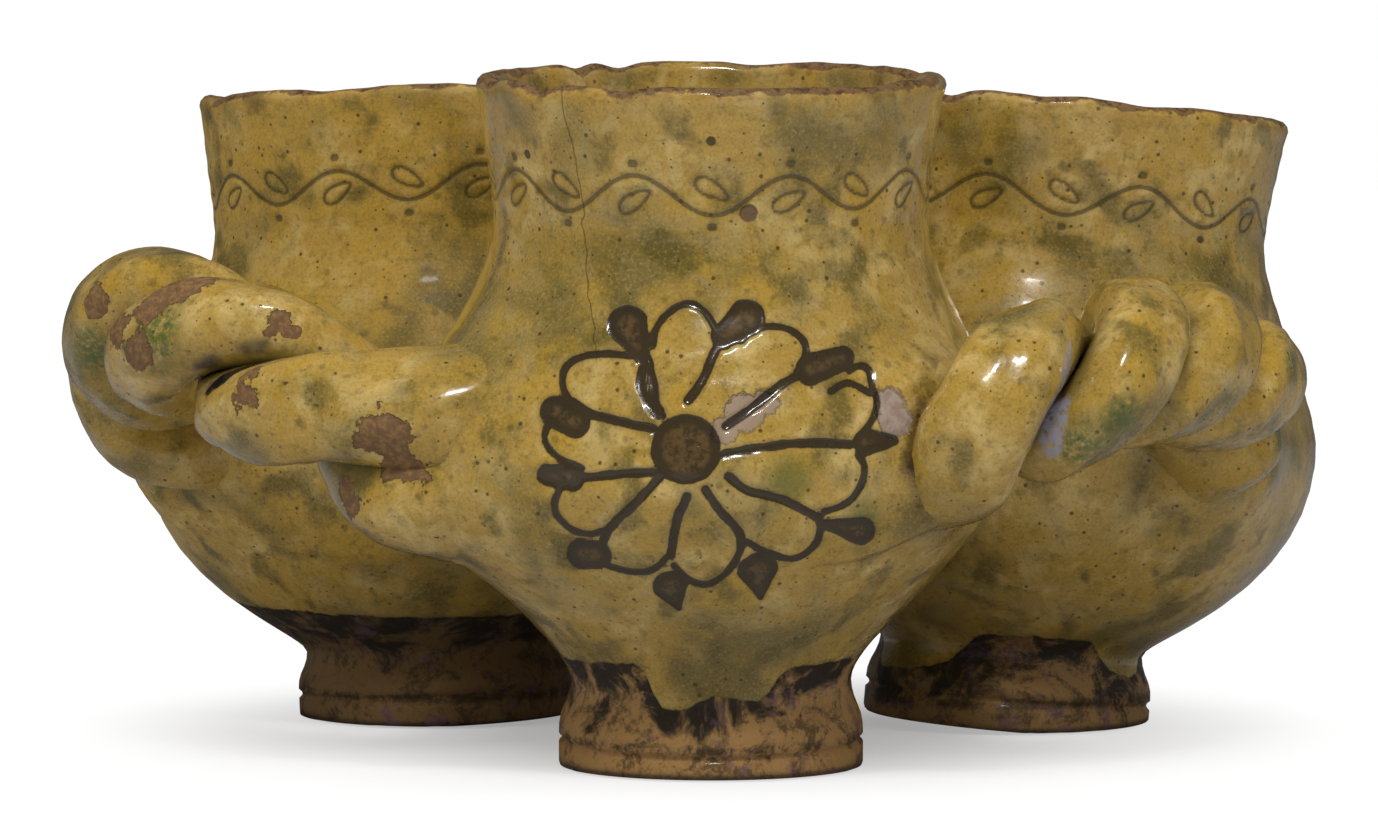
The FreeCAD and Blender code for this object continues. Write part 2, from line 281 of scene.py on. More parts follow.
# Each notch in a rim is its angle in degrees, its depth and its width along the rim. The slip's lower edge is
# seen from the front: how far right, and how high.
FRONT = Cup("front_cup", (1.63, -51.14), -90.0, 3.2, 104.8, 35.0, 32.8, 82.5, 44.5, 48.5, 13.5, 14.0, 7.0,
            ((115, 1.0, 3.0), (128, 0.8, 2.2), (78, 0.5, 4.0), (222, 1.3, 3.2), (247, 0.7, 3.5),
             (312, 0.5, 5.0), (200, 0.8, 2.0), (20, 0.6, 3.0)),
            ((-24, 16.4), (-20.5, 16.7), (-9.8, 17.1), (-8.2, 15.9), (-6.8, 12.3), (-5.7, 10.4), (-3.7, 10.0),
             (-1.5, 10.7), (2.1, 12.4), (5.8, 11.6), (8.7, 11.6), (10.5, 13.0), (11.9, 15.8), (13.8, 16.6),
             (22.0, 17.0), (26, 17.2)), 3.0)
RIGHT = Cup("right_cup", (49.13, 11.86), 22.0, 5.3, 100.2, 36.9, 35.2, 80.0, 46.0, 46.5, 12.4, 23.0, 3.0,
            ((238, 1.1, 3.0), (262, 0.4, 3.0), (290, 0.5, 5.0), (40, 0.7, 3.0), (120, 0.9, 2.5)),
            ((24, 10.0), (29.8, 9.4), (36.8, 10.2), (39.9, 11.7), (42.3, 13.8), (43.4, 15.4), (45.4, 15.8),
             (53.2, 15.3), (61.0, 14.6), (62.0, 14.0), (62.9, 11.7), (64.9, 9.4), (68.1, 7.8), (70.5, 8.6),
             (73, 10.0)), 11.0)
LEFT = Cup("left_cup", (-41.87, 21.86), 153.0, 2.8, 102.4, 34.6, 33.3, 80.0, 46.5, 46.5, 11.5, 23.8, 3.0,
           ((250, 0.5, 6.0), (205, 0.9, 3.0), (290, 0.6, 3.0), (60, 0.8, 2.5), (130, 0.5, 4.0)),
           ((-66, 18.6), (-50, 18.0), (-30, 18.1), (-18, 18.2)), 23.0)


class Root:
    """Where a handle springs from a cup, how it swings away, and how far the clay is smeared there."""

    def __init__(self, cup, turn, height, heading, reach, rise, smear):
        angle = math.radians(cup.facing + turn)
        swing = angle + math.radians(heading)
        self.cup = cup
        self.smear = smear
        self.outwards = Vector((math.cos(angle), math.sin(angle), 0))
        self.point = cup.place @ Vector((0, 0, height)) + self.outwards * cup.belly
        self.pole = self.point + Vector((reach * math.cos(swing), reach * math.sin(swing), rise))


class Handle:
    """A handle of two twisted ropes, from one root to another."""

    def __init__(self, name, start, end, phase, turns, tightening):
        self.name = name
        self.roots = (start, end)
        self.phase = phase
        self.turns = turns
        self.tightening = tightening
        line = bezier(start.point, start.pole, end.pole, end.point, 400)
        self.line = [Vector(p) for p in line]
        self.marks = [0.0]
        for a, b in zip(self.line, self.line[1:]):
            self.marks.append(self.marks[-1] + (b - a).length)
        self.length = self.marks[-1]

    def axis(self, distance):
        """A point of the middle line, and its direction there. Both ends run on straight."""
        inside = min(max(distance, 0.0), self.length)
        k = min(int(inside / self.length * (len(self.line) - 2)), len(self.line) - 2)
        while k > 0 and self.marks[k] > inside:
            k -= 1
        while k < len(self.line) - 2 and self.marks[k + 1] < inside:
            k += 1
        before = self.line[max(k - 1, 0)]
        after = self.line[min(k + 2, len(self.line) - 1)]
        along = (after - before).normalized()
        share = (inside - self.marks[k]) / (self.marks[k + 1] - self.marks[k])
        return self.line[k].lerp(self.line[k + 1], share) + along * (distance - inside), along

    def frame(self, distance, side):
        """The middle, the way out through one rope, the way across it, and how much the root swells it."""
        middle, along = self.axis(distance)
        across = along.cross(UP).normalized()
        above = across.cross(along)
        share = distance / self.length
        twist = self.turns * (share + self.tightening * share * (1 - share))
        angle = math.radians(self.phase) + 2 * math.pi * twist + math.pi * side
        out = across * math.cos(angle) + above * math.sin(angle)
        wide = above * math.cos(angle) - across * math.sin(angle)
        near_end = max(min(distance, self.length - distance), 0)
        return middle, out, wide, 1 + ROOT_FLARE * math.exp(-near_end / FLARE_LENGTH)


RIGHT_HANDLE = Handle("right_handle", Root(FRONT, 52.0, 52.0, 22.0, 26.0, 14.0, 6.0),
                      Root(RIGHT, -74.0, 52.5, -50.0, 22.0, 12.0, 14.0), -50.0, 1.9, 0.2)
LEFT_HANDLE = Handle("left_handle", Root(LEFT, 64.0, 47.5, 14.0, 25.6, 31.0, 14.0),
                     Root(FRONT, -65.0, 47.5, -24.6, 33.4, 15.5, 20.0), 20.0, 2.2, 0.45)
BACK_HANDLE = Handle("back_handle", Root(RIGHT, 60.0, 48.0, 25.0, 30.0, 20.0, 12.0),
                     Root(LEFT, -60.0, 46.0, -25.0, 28.0, 18.0, 12.0), 20.0, 2.6, 0.0)
HANDLES = (RIGHT_HANDLE, BACK_HANDLE, LEFT_HANDLE)


def roots_on(cup):
    """The roots on a cup, each with its handle."""
    return [(handle, root) for handle in HANDLES for root in handle.roots if root.cup is cup]


class Join:
    """Where two neighbouring bellies are pressed together."""

    def __init__(self, name, first, second):
        start = first.centre()
        end = second.centre()
        apart = (end - start).length
        pressed = (first.belly + second.belly - apart) / 2
        self.name = name
        self.first = first
        self.second = second
        self.along = (end - start).normalized()
        self.middle = start + self.along * (first.belly - pressed)
        self.pressed = pressed
        self.flat = math.sqrt(max(first.belly ** 2 - (first.belly - pressed) ** 2, 0))
        self.radius = max(self.flat + LUTE_COLLAR, LUTE_LEAST_RADIUS)


JOINS = (Join("front_right_lute", FRONT, RIGHT), Join("right_left_lute", RIGHT, LEFT),
         Join("left_front_lute", LEFT, FRONT))


# The flower on the front cup, seen square on and measured from the middle of its disc. A spoke runs out
# between two petals to a dark bud, and an arc closes each petal. A bud is a tapering dab: one end, half its
# width there, the other end, half its width there.
FLOWER_MIDDLE = (-2.1, 50.2)
FLOWER_DISC = 5.0
SPOKES = (
    ((-6.2, 12.3), (-6.6, 9.5), (-6.1, 7.3), (-4.0, 4.8)),
    ((-5.5, 12.3), (-4.8, 9.8), (-4.5, 6.5), (-3.5, 4.7)),
    ((4.9, 15.3), (3.8, 13.1), (2.4, 9.5), (0.3, 6.9)),
    ((17.0, 10.9), (12.6, 8.4), (9.3, 5.6), (5.7, 3.3)),
    ((5.3, -0.7), (11.5, 0.4), (17.0, 0.9), (23.6, 0.4)),
    ((6.0, -3.8), (8.7, -6.0), (12.6, -6.8), (15.9, -8.2), (19.0, -10.1)),
    ((2.7, -5.7), (4.9, -9.0), (7.9, -12.0), (7.9, -14.5)),
    ((0.2, -6.7), (-1.5, -10.1), (-2.2, -15.6)),
    ((-3.9, -4.0), (-7.3, -7.9), (-10.9, -11.2), (-12.3, -14.3)),
    ((-4.3, -3.3), (-9.0, -3.5), (-13.9, -4.3), (-17.2, -4.3)),
    ((-4.8, 2.9), (-9.0, 3.7), (-13.9, 4.7), (-16.7, 6.5)))
ARCS = (
    ((-4.8, 14.5), (-4.5, 17.0), (-2.6, 19.4), (0.4, 20.9), (2.9, 19.4), (4.6, 16.4)),
    ((7.9, 15.3), (9.8, 16.9), (12.3, 17.4), (15.1, 16.9), (17.3, 15.0), (17.4, 13.1), (15.9, 10.6)),
    ((23.6, 10.9), (25.3, 11.7), (26.7, 10.9), (26.7, 8.7), (27.8, 6.5), (27.0, 3.7), (24.8, 1.5)),
    ((20.9, 8.0), (23.1, 9.3), (24.8, 8.7), (26.5, 7.6)),
    ((24.8, -1.0), (26.0, -2.9), (25.3, -5.7), (23.1, -8.2), (19.8, -9.2)),
    ((19.2, -11.8), (18.7, -14.0), (15.9, -16.5), (12.0, -15.4), (8.7, -13.4)),
    ((7.9, -14.5), (6.5, -17.8), (3.2, -20.3), (0.4, -19.5), (-1.8, -17.0)),
    ((-2.6, -15.6), (-4.8, -18.1), (-7.8, -18.3), (-11.4, -17.3)),
    ((-12.0, -12.0), (-13.9, -12.8), (-17.2, -11.8), (-19.4, -9.0), (-18.3, -6.2)),
    ((-15.0, -2.9), (-18.9, -1.5), (-20.7, 0.9), (-20.1, 2.9)),
    ((-14.8, 4.5), (-17.8, 7.6), (-18.1, 10.9), (-15.6, 12.8), (-12.3, 13.4), (-8.1, 13.1)))
BUDS = (
    (-8.4, 17.3, 3.0, -6.3, 12.8, 1.2), (8.7, 18.4, 2.8, 5.4, 15.9, 1.9),
    (22.6, 12.6, 1.8, 18.1, 11.2, 2.3), (26.1, 0.7, 2.0, 30.0, 0.8, 0.8),
    (19.3, -10.9, 0.6, 24.8, -12.2, 2.2), (10.4, -18.2, 3.0, 10.8, -22.0, 0.5),
    (-2.2, -20.6, 2.7, -1.1, -23.7, 0.5), (-12.9, -15.7, 2.2, -15.0, -15.7, 2.4),
    (-16.7, -4.3, 2.1, -20.0, -4.1, 1.6), (-16.1, 3.6, 2.3, -18.9, 5.0, 2.3))

# An arc's width as a share of a spoke's, and how unevenly the cuts and the buds are edged.
ARC_SHARE = 0.78
CUT_WANDER = 0.25
BUD_WANDER = 0.2

# How far from a cut, and from the slip's edge, the distance is still told. Out of sight, the slip's edge
# wanders a little round one height, and it is nowhere higher than the last.
CUT_FAR = 2.0
SLIP_FAR = 9.0
SLIP_EDGE = 16.5
SLIP_WANDER = 1.6
SLIP_HIGHEST = 30

# The lower edge of the clay smeared from the right handle's root under the flower, seen from the front.
SMEAR_EDGE = ((11.7, 32.7), (21.4, 33.2), (25.7, 34.4), (30.0, 36.3), (34.3, 38.2), (37.2, 39.9),
              (42.9, 43.5))
SMEAR_STEP = 0.9

# The vine: how far under the rim its middle runs, its waves round the neck, the points in a wave, how many
# wave heights up and down are divided finely for it, and its cuts' share of the flower's depth.
BAND_DROP = 16.0
BAND_WAVES = 9
WAVE_POINTS = 24
BAND_REACH = 2.6
BAND_DEPTH_SHARE = 0.6
LEAF_POINTS = 16


def soften(points, times=3):
    """Rounds the corners of a line of points."""
    for _ in range(times):
        cut = [points[0]]
        for a, b in zip(points, points[1:]):
            cut.append(tuple(0.75 * m + 0.25 * n for m, n in zip(a, b)))
            cut.append(tuple(0.25 * m + 0.75 * n for m, n in zip(a, b)))
        points = cut + [points[-1]]
    return points


def search_tree(points):
    """A search tree over points."""
    tree = kdtree.KDTree(len(points))
    for n, point in enumerate(points):
        tree.insert(point, n)
    tree.balance()
    return tree


def line_tree(strokes, step=0.12):
    """A search tree over cut lines, with half the width of the cut at each of its points."""
    points = []
    half_widths = []
    for stroke, half_width in strokes:
        for x, y in even(stroke, step):
            points.append((x, y, 0))
            half_widths.append(half_width)
    return search_tree(points), half_widths


def flower_tree(half_width):
    """The flower's cut lines. Its arcs are cut finer than its spokes."""
    strokes = [(soften(spoke), half_width) for spoke in SPOKES]
    strokes += [(soften(arc), half_width * ARC_SHARE) for arc in ARCS]
    return line_tree(strokes)


def flower_depth(u, v, tree, half_widths):
    """How far a place is from the flower's cuts, below zero inside them."""
    _, index, away = tree.find((u, v, 0))
    wobble = noise.noise(Vector((u * 0.5, v * 0.5, 4)))
    nearest = away - half_widths[index] * (1 + CUT_WANDER * wobble)
    nearest = min(nearest, math.hypot(u, v) - FLOWER_DISC - CUT_WANDER * wobble)
    for x0, y0, half0, x1, y1, half1 in BUDS:
        run = (x1 - x0) ** 2 + (y1 - y0) ** 2
        share = min(max(((u - x0) * (x1 - x0) + (v - y0) * (y1 - y0)) / run, 0), 1)
        off = math.hypot(u - x0 - share * (x1 - x0), v - y0 - share * (y1 - y0))
        nearest = min(nearest, off - (half0 + (half1 - half0) * share) - BUD_WANDER * wobble)
    return nearest


def band_tree(cup, height, length, half_width):
    """The cut vine round a neck, unrolled: a running wave with a leaf and a dot in each bend."""
    around = 2 * math.pi * cup.neck
    middle = cup.height - BAND_DROP
    count = BAND_WAVES * WAVE_POINTS
    wave = []
    for n in range(-WAVE_POINTS, count + WAVE_POINTS + 1):
        x = around * n / count
        sway = 0.5 * noise.noise(Vector((cup.seed, x * 0.08, 0)))
        wave.append((x, middle + height * math.sin(2 * math.pi * n / WAVE_POINTS) + sway))
    strokes = [(wave, half_width)]
    for n in range(-2, 2 * BAND_WAVES + 2):
        side = 1 if n % 2 == 0 else -1
        x = around * (n + 0.5) / (2 * BAND_WAVES)
        lean = 0.5 + 0.2 * noise.noise(Vector((cup.seed, n * 1.7, 3)))
        leaf = []
        for k in range(LEAF_POINTS + 1):
            turn = 2 * math.pi * k / LEAF_POINTS
            along = length * math.cos(turn)
            across = length * 0.42 * math.sin(turn) * (1 - 0.35 * math.cos(turn))
            rise = along * math.sin(lean) * side + across * math.cos(lean)
            leaf.append((x + along * math.cos(lean) - across * math.sin(lean) * side,
                         middle - side * height * 0.35 + rise))
        strokes.append((leaf, half_width * 0.8))
        dot = middle + side * height * 1.75
        strokes.append(([(x - 0.2, dot), (x + 0.2, dot)], half_width * 1.7))
    return line_tree(strokes)


def size(label, words, value):
    """A size that a user can change, in millimetres."""
    return FloatProperty(name=label, description=words, default=value)


def colour(label, words, value):
    """A colour that a user can change."""
    return FloatVectorProperty(name=label, description=words, subtype="COLOR", size=3, min=0, max=1,
                               default=value)


class SlipwareSizes(bpy.types.PropertyGroup):
    """Sizes of the finish that a potter would change."""
    line_width: size("Line width", "Width of the flower's cut lines", 1.35)
    line_depth: size("Line depth", "Depth of the cuts through the slip", 0.38)
    band_line: size("Band line", "Width of the vine's cut lines", 0.64)
    band_height: size("Vine height", "Height of the vine's wave", 2.6)
    leaf_length: size("Leaf length", "Half the length of a leaf on the vine", 2.7)
    ring_depth: size("Ring depth", "Depth of the rings left by throwing", 0.05)
    swelling: size("Swelling", "How uneven the thrown wall is", 0.45)
    rope_thick: size("Rope thickness", "A rope's size away from its twin", 13.0)
    rope_wide: size("Rope width", "A rope's size across", 18.5)
    rope_contact: size("Rope contact", "Width of the flat between twins", 8.0)
    rope_unevenness: size("Rope unevenness", "How lumpy the rolled clay is", 0.5)


class SlipwareColours(bpy.types.PropertyGroup):
    """Colours of the glaze, the slip and the clay, as linear values."""
    honey: colour("Honey", "Lead glaze over cream slip", (0.440, 0.275, 0.050))
    amber: colour("Amber", "Glaze where it is thick and yellow", (0.460, 0.275, 0.026))
    cream: colour("Cream", "Glaze where it is thin", (0.610, 0.430, 0.140))
    olive: colour("Olive", "Blotches where iron stains the glaze", (0.118, 0.090, 0.016))
    green: colour("Green", "Flecks of copper", (0.060, 0.105, 0.018))
    speck: colour("Speck", "Iron specks", (0.045, 0.024, 0.008))
    ink: colour("Cut", "Dark body seen in the cuts", (0.036, 0.024, 0.011))
    clay: colour("Red clay", "Bare clay at chips and rims", (0.160, 0.086, 0.038))
    pale_chip: colour("Pale chip", "A fresh chip through the slip", (0.560, 0.440, 0.370))
    pool: colour("Pool", "Milky glaze in a crease", (0.330, 0.310, 0.370))
    foot_tan: colour("Foot tan", "Thin glaze on the bare foot", (0.390, 0.215, 0.066))
    foot_dark: colour("Foot dark", "Thick glaze under the slip's edge", (0.026, 0.017, 0.008))
    violet: colour("Violet", "Manganese bloom on the foot", (0.120, 0.055, 0.085))


class Value:
    """A shader socket, so that shader sums can be written as sums."""

    def __init__(self, graph, socket):
        self.graph = graph
        self.socket = socket

    def sum(self, operation, *others, clamp=False):
        return self.graph.node("ShaderNodeMath", {"operation": operation, "use_clamp": clamp},
                               dict(enumerate((self,) + others)))

    def __add__(self, other):
        return self.sum("ADD", other)

    def __radd__(self, other):
        return self.sum("ADD", other)

    def __sub__(self, other):
        return self.sum("SUBTRACT", other)

    def __rsub__(self, other):
        return self.graph.node("ShaderNodeMath", {"operation": "SUBTRACT"}, {0: other, 1: self})

    def __mul__(self, other):
        return self.sum("MULTIPLY", other)

    def __rmul__(self, other):
        return self.sum("MULTIPLY", other)

    def most(self, other):
        return self.sum("MAXIMUM", other)


class Graph:
    """A node graph of a material or of the surround."""

    def __init__(self, owner):
        owner.use_nodes = True
        self.owner = owner
        self.tree = owner.node_tree
        self.tree.nodes.clear()

    def measure(self):
        """Gives the graph the piece's own place in millimetres."""
        place = self.node("ShaderNodeTexCoord", {}, {}, "Object")
        self.place = self.vector("SCALE", {0: place, "Scale": 1 / METRES})
        self.x, self.y, self.z = self.outputs(self.node("ShaderNodeSeparateXYZ", {}, {0: self.place}))
        return self

    def node(self, kind, settings, sockets, output=0):
        """Any node: its settings are set first, then the values or links of its sockets."""
        made = self.tree.nodes.new(kind)
        for name, value in settings.items():
            setattr(made, name, value)
        for key, value in sockets.items():
            self.feed(made.inputs[key], value)
        return Value(self, made.outputs[output])

    def outputs(self, value):
        """All the outputs of a value's node."""
        return [Value(self, socket) for socket in value.socket.node.outputs]

    def feed(self, socket, value):
        """Links or sets a socket. A colour of three numbers is made opaque."""
        if isinstance(value, Value):
            self.tree.links.new(value.socket, socket)
        elif hasattr(value, "__len__") and socket.type == "RGBA":
            socket.default_value = tuple(value) + (1.0,)
        else:
            socket.default_value = value

    def vector(self, operation, sockets, output=0):
        return self.node("ShaderNodeVectorMath", {"operation": operation}, sockets, output)

    def mix(self, share, first, second):
        return self.node("ShaderNodeMix", {"data_type": "RGBA"}, {0: share, 6: first, 7: second}, 2)

    def paint(self, share, colour):
        """Lays a colour over the surface by its share."""
        self.shade = self.mix(share, self.shade, colour)

    def cloud(self, size, detail=3.0, roughness=0.55, distortion=0.0, shift=0.0):
        """Soft noise whose features are about size millimetres across."""
        where = self.vector("ADD", {0: self.place, 1: (shift, shift * 0.7, -shift)})
        return self.node("ShaderNodeTexNoise", {}, {"Vector": where, "Scale": 1 / size, "Detail": detail,
                                                    "Roughness": roughness, "Distortion": distortion})

    def step(self, value, low, high):
        """A soft step from 0 at low to 1 at high."""
        return self.node("ShaderNodeMapRange", {"interpolation_type": "SMOOTHSTEP"},
                         {"Value": value, "From Min": low, "From Max": high})

    def hump(self, value, middle, width):
        """A soft hump, 1 at the middle and 0 a width away."""
        return 1 - self.step((value - middle).sum("ABSOLUTE"), 0.0, width)

    def spot(self, place, radius, edge, ragged):
        """A ragged patch round a place."""
        away = self.vector("DISTANCE", {0: self.place, 1: place}, "Value")
        return 1 - self.step(away + ragged, radius - edge, radius + edge)

    def streak(self, start, end, radius, edge, ragged):
        """A ragged line from one place to another."""
        run = Vector(end) - Vector(start)
        near = self.vector("SUBTRACT", {0: self.place, 1: start})
        along = self.vector("DOT_PRODUCT", {0: near, 1: tuple(run / run.length_squared)}, "Value")
        foot = self.vector("SCALE", {0: tuple(run), "Scale": along.sum("ADD", 0.0, clamp=True)})
        away = self.vector("DISTANCE", {0: near, 1: foot}, "Value")
        return 1 - self.step(away + ragged, radius - edge, radius + edge)

    def spots(self, places, edge, ragged):
        """Several ragged patches, each a place and a radius."""
        patch = self.spot(*places[0], edge, ragged)
        for place, radius in places[1:]:
            patch = patch.most(self.spot(place, radius, edge, ragged))
        return patch

    def attribute(self, name):
        return self.node("ShaderNodeAttribute", {"attribute_name": name}, {}, "Fac")

    def specks(self, cell, radius, share):
        """Round specks in some of the cells of a random grid."""
        grid = self.node("ShaderNodeTexVoronoi", {}, {"Vector": self.place, "Scale": 1 / cell})
        away, colour = self.outputs(grid)[:2]
        pick = self.node("ShaderNodeSeparateColor", {}, {0: colour})
        size = self.step(pick, 1 - share, 1.3 - share) * (radius / cell)
        return 1 - self.step(away, size * 0.5, size + 0.01)

    def finish(self, coat):
        """Ends the graph in one glossy surface."""
        bumped = self.node("ShaderNodeBump", {}, {"Strength": 1.0, "Distance": METRES, "Height": self.height})
        surface = self.node("ShaderNodeBsdfPrincipled", {},
                            {"Base Color": self.shade, "Roughness": self.rough, "Normal": bumped,
                             "Coat Weight": coat, "Coat Roughness": 0.1, "Coat IOR": 1.5, "IOR": 1.45})
        return self.output("ShaderNodeOutputMaterial", surface)

    def output(self, kind, surface):
        """Adds the node that ends the graph."""
        self.feed(self.tree.nodes.new(kind).inputs["Surface"], surface)
        return self.owner


# Bare patches, flecks, pools and painted shade, each its place on the standing pot and its radius.
HANDLE_CHIPS = (((-81.0, -60.9, 71.0), 4.2), ((-75.5, -60.8, 74.0), 4.0), ((-87.3, -56.7, 65.5), 2.8),
                ((-84.0, -60.9, 62.2), 3.2), ((-67.3, -76.3, 60.8), 3.0), ((-67.3, -77.2, 57.0), 3.0),
                ((-45.8, -84.3, 51.2), 3.6), ((-42.6, -80.0, 46.8), 3.6), ((-92.2, -44.2, 69.5), 2.8),
                ((-51.3, -75.8, 41.6), 2.4), ((93.4, -22.4, 50.1), 2.4), ((-93.0, -30.0, 46.0), 3.8),
                ((-86.0, -36.0, 42.5), 3.6), ((-61.5, -70.8, 67.6), 2.8), ((-72.8, -69.0, 59.6), 2.6),
                ((10.0, 97.0, 66.0), 4.4), ((40.0, 88.0, 58.0), 3.4), ((-30.0, 90.0, 62.0), 3.8))
HANDLE_GAP = ((-76.5, -67.5, 57.0), (-63.0, -72.0, 61.2))
GAP_SHADE = (0.006, 0.004, 0.002)
HANDLE_GREENS = (((-81.4, -64.0, 65.8), 5.0), ((-92.9, -40.4, 61.8), 4.2), ((54.7, -87.8, 50.0), 3.6),
                 ((61.5, -88.0, 54.0), 3.4), ((90.7, -40.9, 59.5), 3.0), ((90.6, -27.2, 48.8), 3.6),
                 ((20.0, 96.0, 60.0), 4.5), ((-45.0, 80.0, 55.0), 4.0))
HANDLE_POOL = ((53.2, -88.4, 65.5), (50.2, -86.6, 49.8))
# Painted shade: dark patches down the handles' creases, each its place and its radius.
HANDLE_CREASE_SHADES = (((-73.9, -66.4, 61.5), 3.0), ((-66.2, -69.8, 66.1), 3.4), ((68.1, -82.3, 64.5), 2.6),
                  ((50.0, -86.4, 46.5), 2.4))
FRONT_GREENS = (((13.0, -96.9, 45.8), 3.2), ((24.0, -92.0, 40.0), 2.4), ((-24.0, -90.0, 30.0), 2.6))
FRONT_SMUDGES = (((32.7, -88.0, 56.5), (30.2, -88.6, 47.5)), ((30.2, -88.6, 47.5), (32.0, -86.6, 41.5)))
FRONT_PINKS = (((6.3, -96.3, 55.6), 3.0), ((9.5, -96.0, 57.2), 2.4), ((3.5, -96.6, 53.0), 2.0))
FRONT_WHITES = (((26.8, -90.8, 59.4), 2.4), ((27.6, -90.4, 57.0), 2.9), ((28.2, -89.9, 54.0), 2.6))
FRONT_RED = ((7.0, -88.5, 83.6), 1.3)
FRONT_PITS = (((1.5, -90.7, 94.0), 0.7), ((-25.6, -76.8, 91.9), 0.8))

# Where the hairline crack passes: how far right, and how high.
CRACK_FOOT = (-16.5, 72.0)


def glazed(name, tone, warmth):
    """A material with the mottled lead glaze that everything wears, and the colours to paint it further."""
    graph = Graph(bpy.data.materials.new(name)).measure()
    c = bpy.context.scene.slipware_colours
    broad = graph.cloud(21.0, 2.5, 0.55, 0.4)
    middle = graph.cloud(6.5, 5.0, 0.62, 0.6, 40.0)
    fine = graph.cloud(1.6, 4.0, 0.65, 0.0, 90.0)
    grain = graph.cloud(0.45, 2.0, 0.6, 0.0, 15.0)
    graph.shade = graph.mix(graph.step(middle, 0.42, 0.66), c.honey, c.cream)
    warm = graph.step(graph.cloud(14.0, 4.0, 0.6, 0.8, 70.0), 0.5 - warmth, 0.68 - warmth)
    graph.paint(warm * 0.75, c.amber)
    stain = graph.step(broad * 0.72 + middle * 0.28, 0.47 - tone, 0.66 - tone)
    graph.paint(stain * 0.8, c.olive)
    blots = graph.step(graph.cloud(8.0, 1.5, 0.5, 0.3, 160.0) * 0.85 + fine * 0.15, 0.51, 0.68)
    graph.paint(blots * 0.78, c.olive)
    graph.paint(graph.step(fine, 0.5, 0.72) * 0.45, c.olive)
    graph.paint(graph.step(grain, 0.5, 0.75) * 0.3, c.speck)
    graph.paint(graph.step(grain, 0.5, 0.25) * 0.3, c.cream)
    flecks = graph.step(graph.cloud(3.2, 3.0, 0.6, 0.0, 210.0), 0.66, 0.74)
    graph.paint(flecks * 0.35, c.green)
    graph.paint(graph.specks(6.0, 1.8, 0.4) * 0.3, c.olive)
    graph.paint(graph.specks(3.4, 0.8, 0.45) * 0.35, c.speck)
    dots = graph.specks(2.3, 0.4, 0.6).most(graph.specks(1.3, 0.2, 0.5))
    graph.paint(dots * 0.8, c.speck)
    graph.height = fine * 0.05 + middle * 0.10 - dots * 0.06 + grain * 0.014
    graph.rough = graph.step(middle, 0.3, 0.75) * 0.14 + 0.17
    return graph, c


def cup_material(cup, darkness, warmth=0.0, dullness=0.0):
    """A cup's finish: glazed slip with cut lines, worn rim, and a bare foot under the slip's edge."""
    graph, c = glazed(cup.name, 0.0, warmth)
    graph.rough += dullness
    fine = graph.cloud(1.1, 4.0, 0.7, 0.0, 55.0)
    ragged = (fine - 0.5) * 2.2
    if cup is FRONT:
        front_details(graph, c, ragged)
    bare = bare_foot(graph, c, fine, darkness, 33.0 + cup.seed)
    cut_lines(graph, c, fine, ragged)
    worn = worn_rim(graph, c, fine, ragged)
    return graph.finish((1 - worn.most(bare * 0.75)) * (1 - dullness * 3))


def bare_foot(graph, c, fine, darkness, shift):
    """The foot under the slip's edge: tan where the glaze is thin, dark where it gathers. Gives its share."""
    foot = graph.attribute("slip") + (graph.cloud(2.6, 3.0, 0.6, 0.0, 12.0) - 0.5) * 1.3
    bare = graph.step(foot, -0.16, 0.16)
    spread = (graph.cloud(9.0, 5.0, 0.7, 0.6, shift) - 0.5) * 48.0
    depth = graph.step(foot + spread, 0.0, 7.0)
    earth = graph.mix(depth * (1 - darkness), c.foot_dark, c.foot_tan)
    stains = graph.cloud(6.0, 5.0, 0.75, 0.8, 77.0) * 0.7 + graph.cloud(0.9, 3.0, 0.7, 0.0, 20.0) * 0.3
    earth = graph.mix(graph.step(stains, 0.48, 0.6) * 0.7, earth, c.foot_dark)
    # Darker along the foot's lowest edge, and in its groove where stained.
    groove = graph.hump(graph.z, 4.4, 1.3) * graph.step(stains, 0.42, 0.52)
    low = (1 - graph.step(graph.z, 0.3, 1.2)).most(groove)
    earth = graph.mix(low * 0.7, earth, c.foot_dark)
    bloom = graph.step(graph.cloud(5.0, 4.0, 0.7, 0.0, 190.0), 0.56, 0.66)
    earth = graph.mix(bloom * 0.55, earth, c.violet)
    graph.paint(graph.step(foot, -1.0, 0.0) * 0.3, c.olive)
    graph.paint(bare, earth)
    graph.height = graph.height - bare * 0.25 + bare * fine * 0.25
    graph.rough += bare * 0.25
    return bare


def cut_lines(graph, c, fine, ragged):
    """The dark body in the cuts. The vine's cuts, high on the neck, are paler than the flower's."""
    cut = graph.attribute("ink") + ragged * 0.16
    inked = 1 - graph.step(cut, -0.08, 0.10)
    graph.paint((1 - graph.step(cut, -0.1, 0.6)) * 0.3, c.olive)
    graph.paint(inked * (0.96 - graph.step(graph.z, 76.0, 80.0) * 0.34), c.ink)
    heart = (1 - graph.step(cut, -1.9, -1.0)) * graph.step(fine, 0.36, 0.6)
    graph.paint(heart * 0.2, c.foot_tan)


def worn_rim(graph, c, fine, ragged):
    """The rim, worn to the clay. Gives its share."""
    lip = graph.attribute("rim") + ragged * 0.7 + (graph.cloud(9.0, 3.0, 0.6, 0.0, 5.0) - 0.5) * 5.0
    worn = 1 - graph.step(lip, 0.6, 1.0)
    graph.paint((1 - graph.step(lip, 0.6, 3.0)) * 0.3, c.foot_tan)
    graph.paint(worn * 0.85, c.clay)
    graph.paint(worn * graph.step(fine, 0.45, 0.62) * 0.75, c.foot_dark)
    graph.height -= worn * 0.12
    graph.rough += worn * 0.35
    return worn


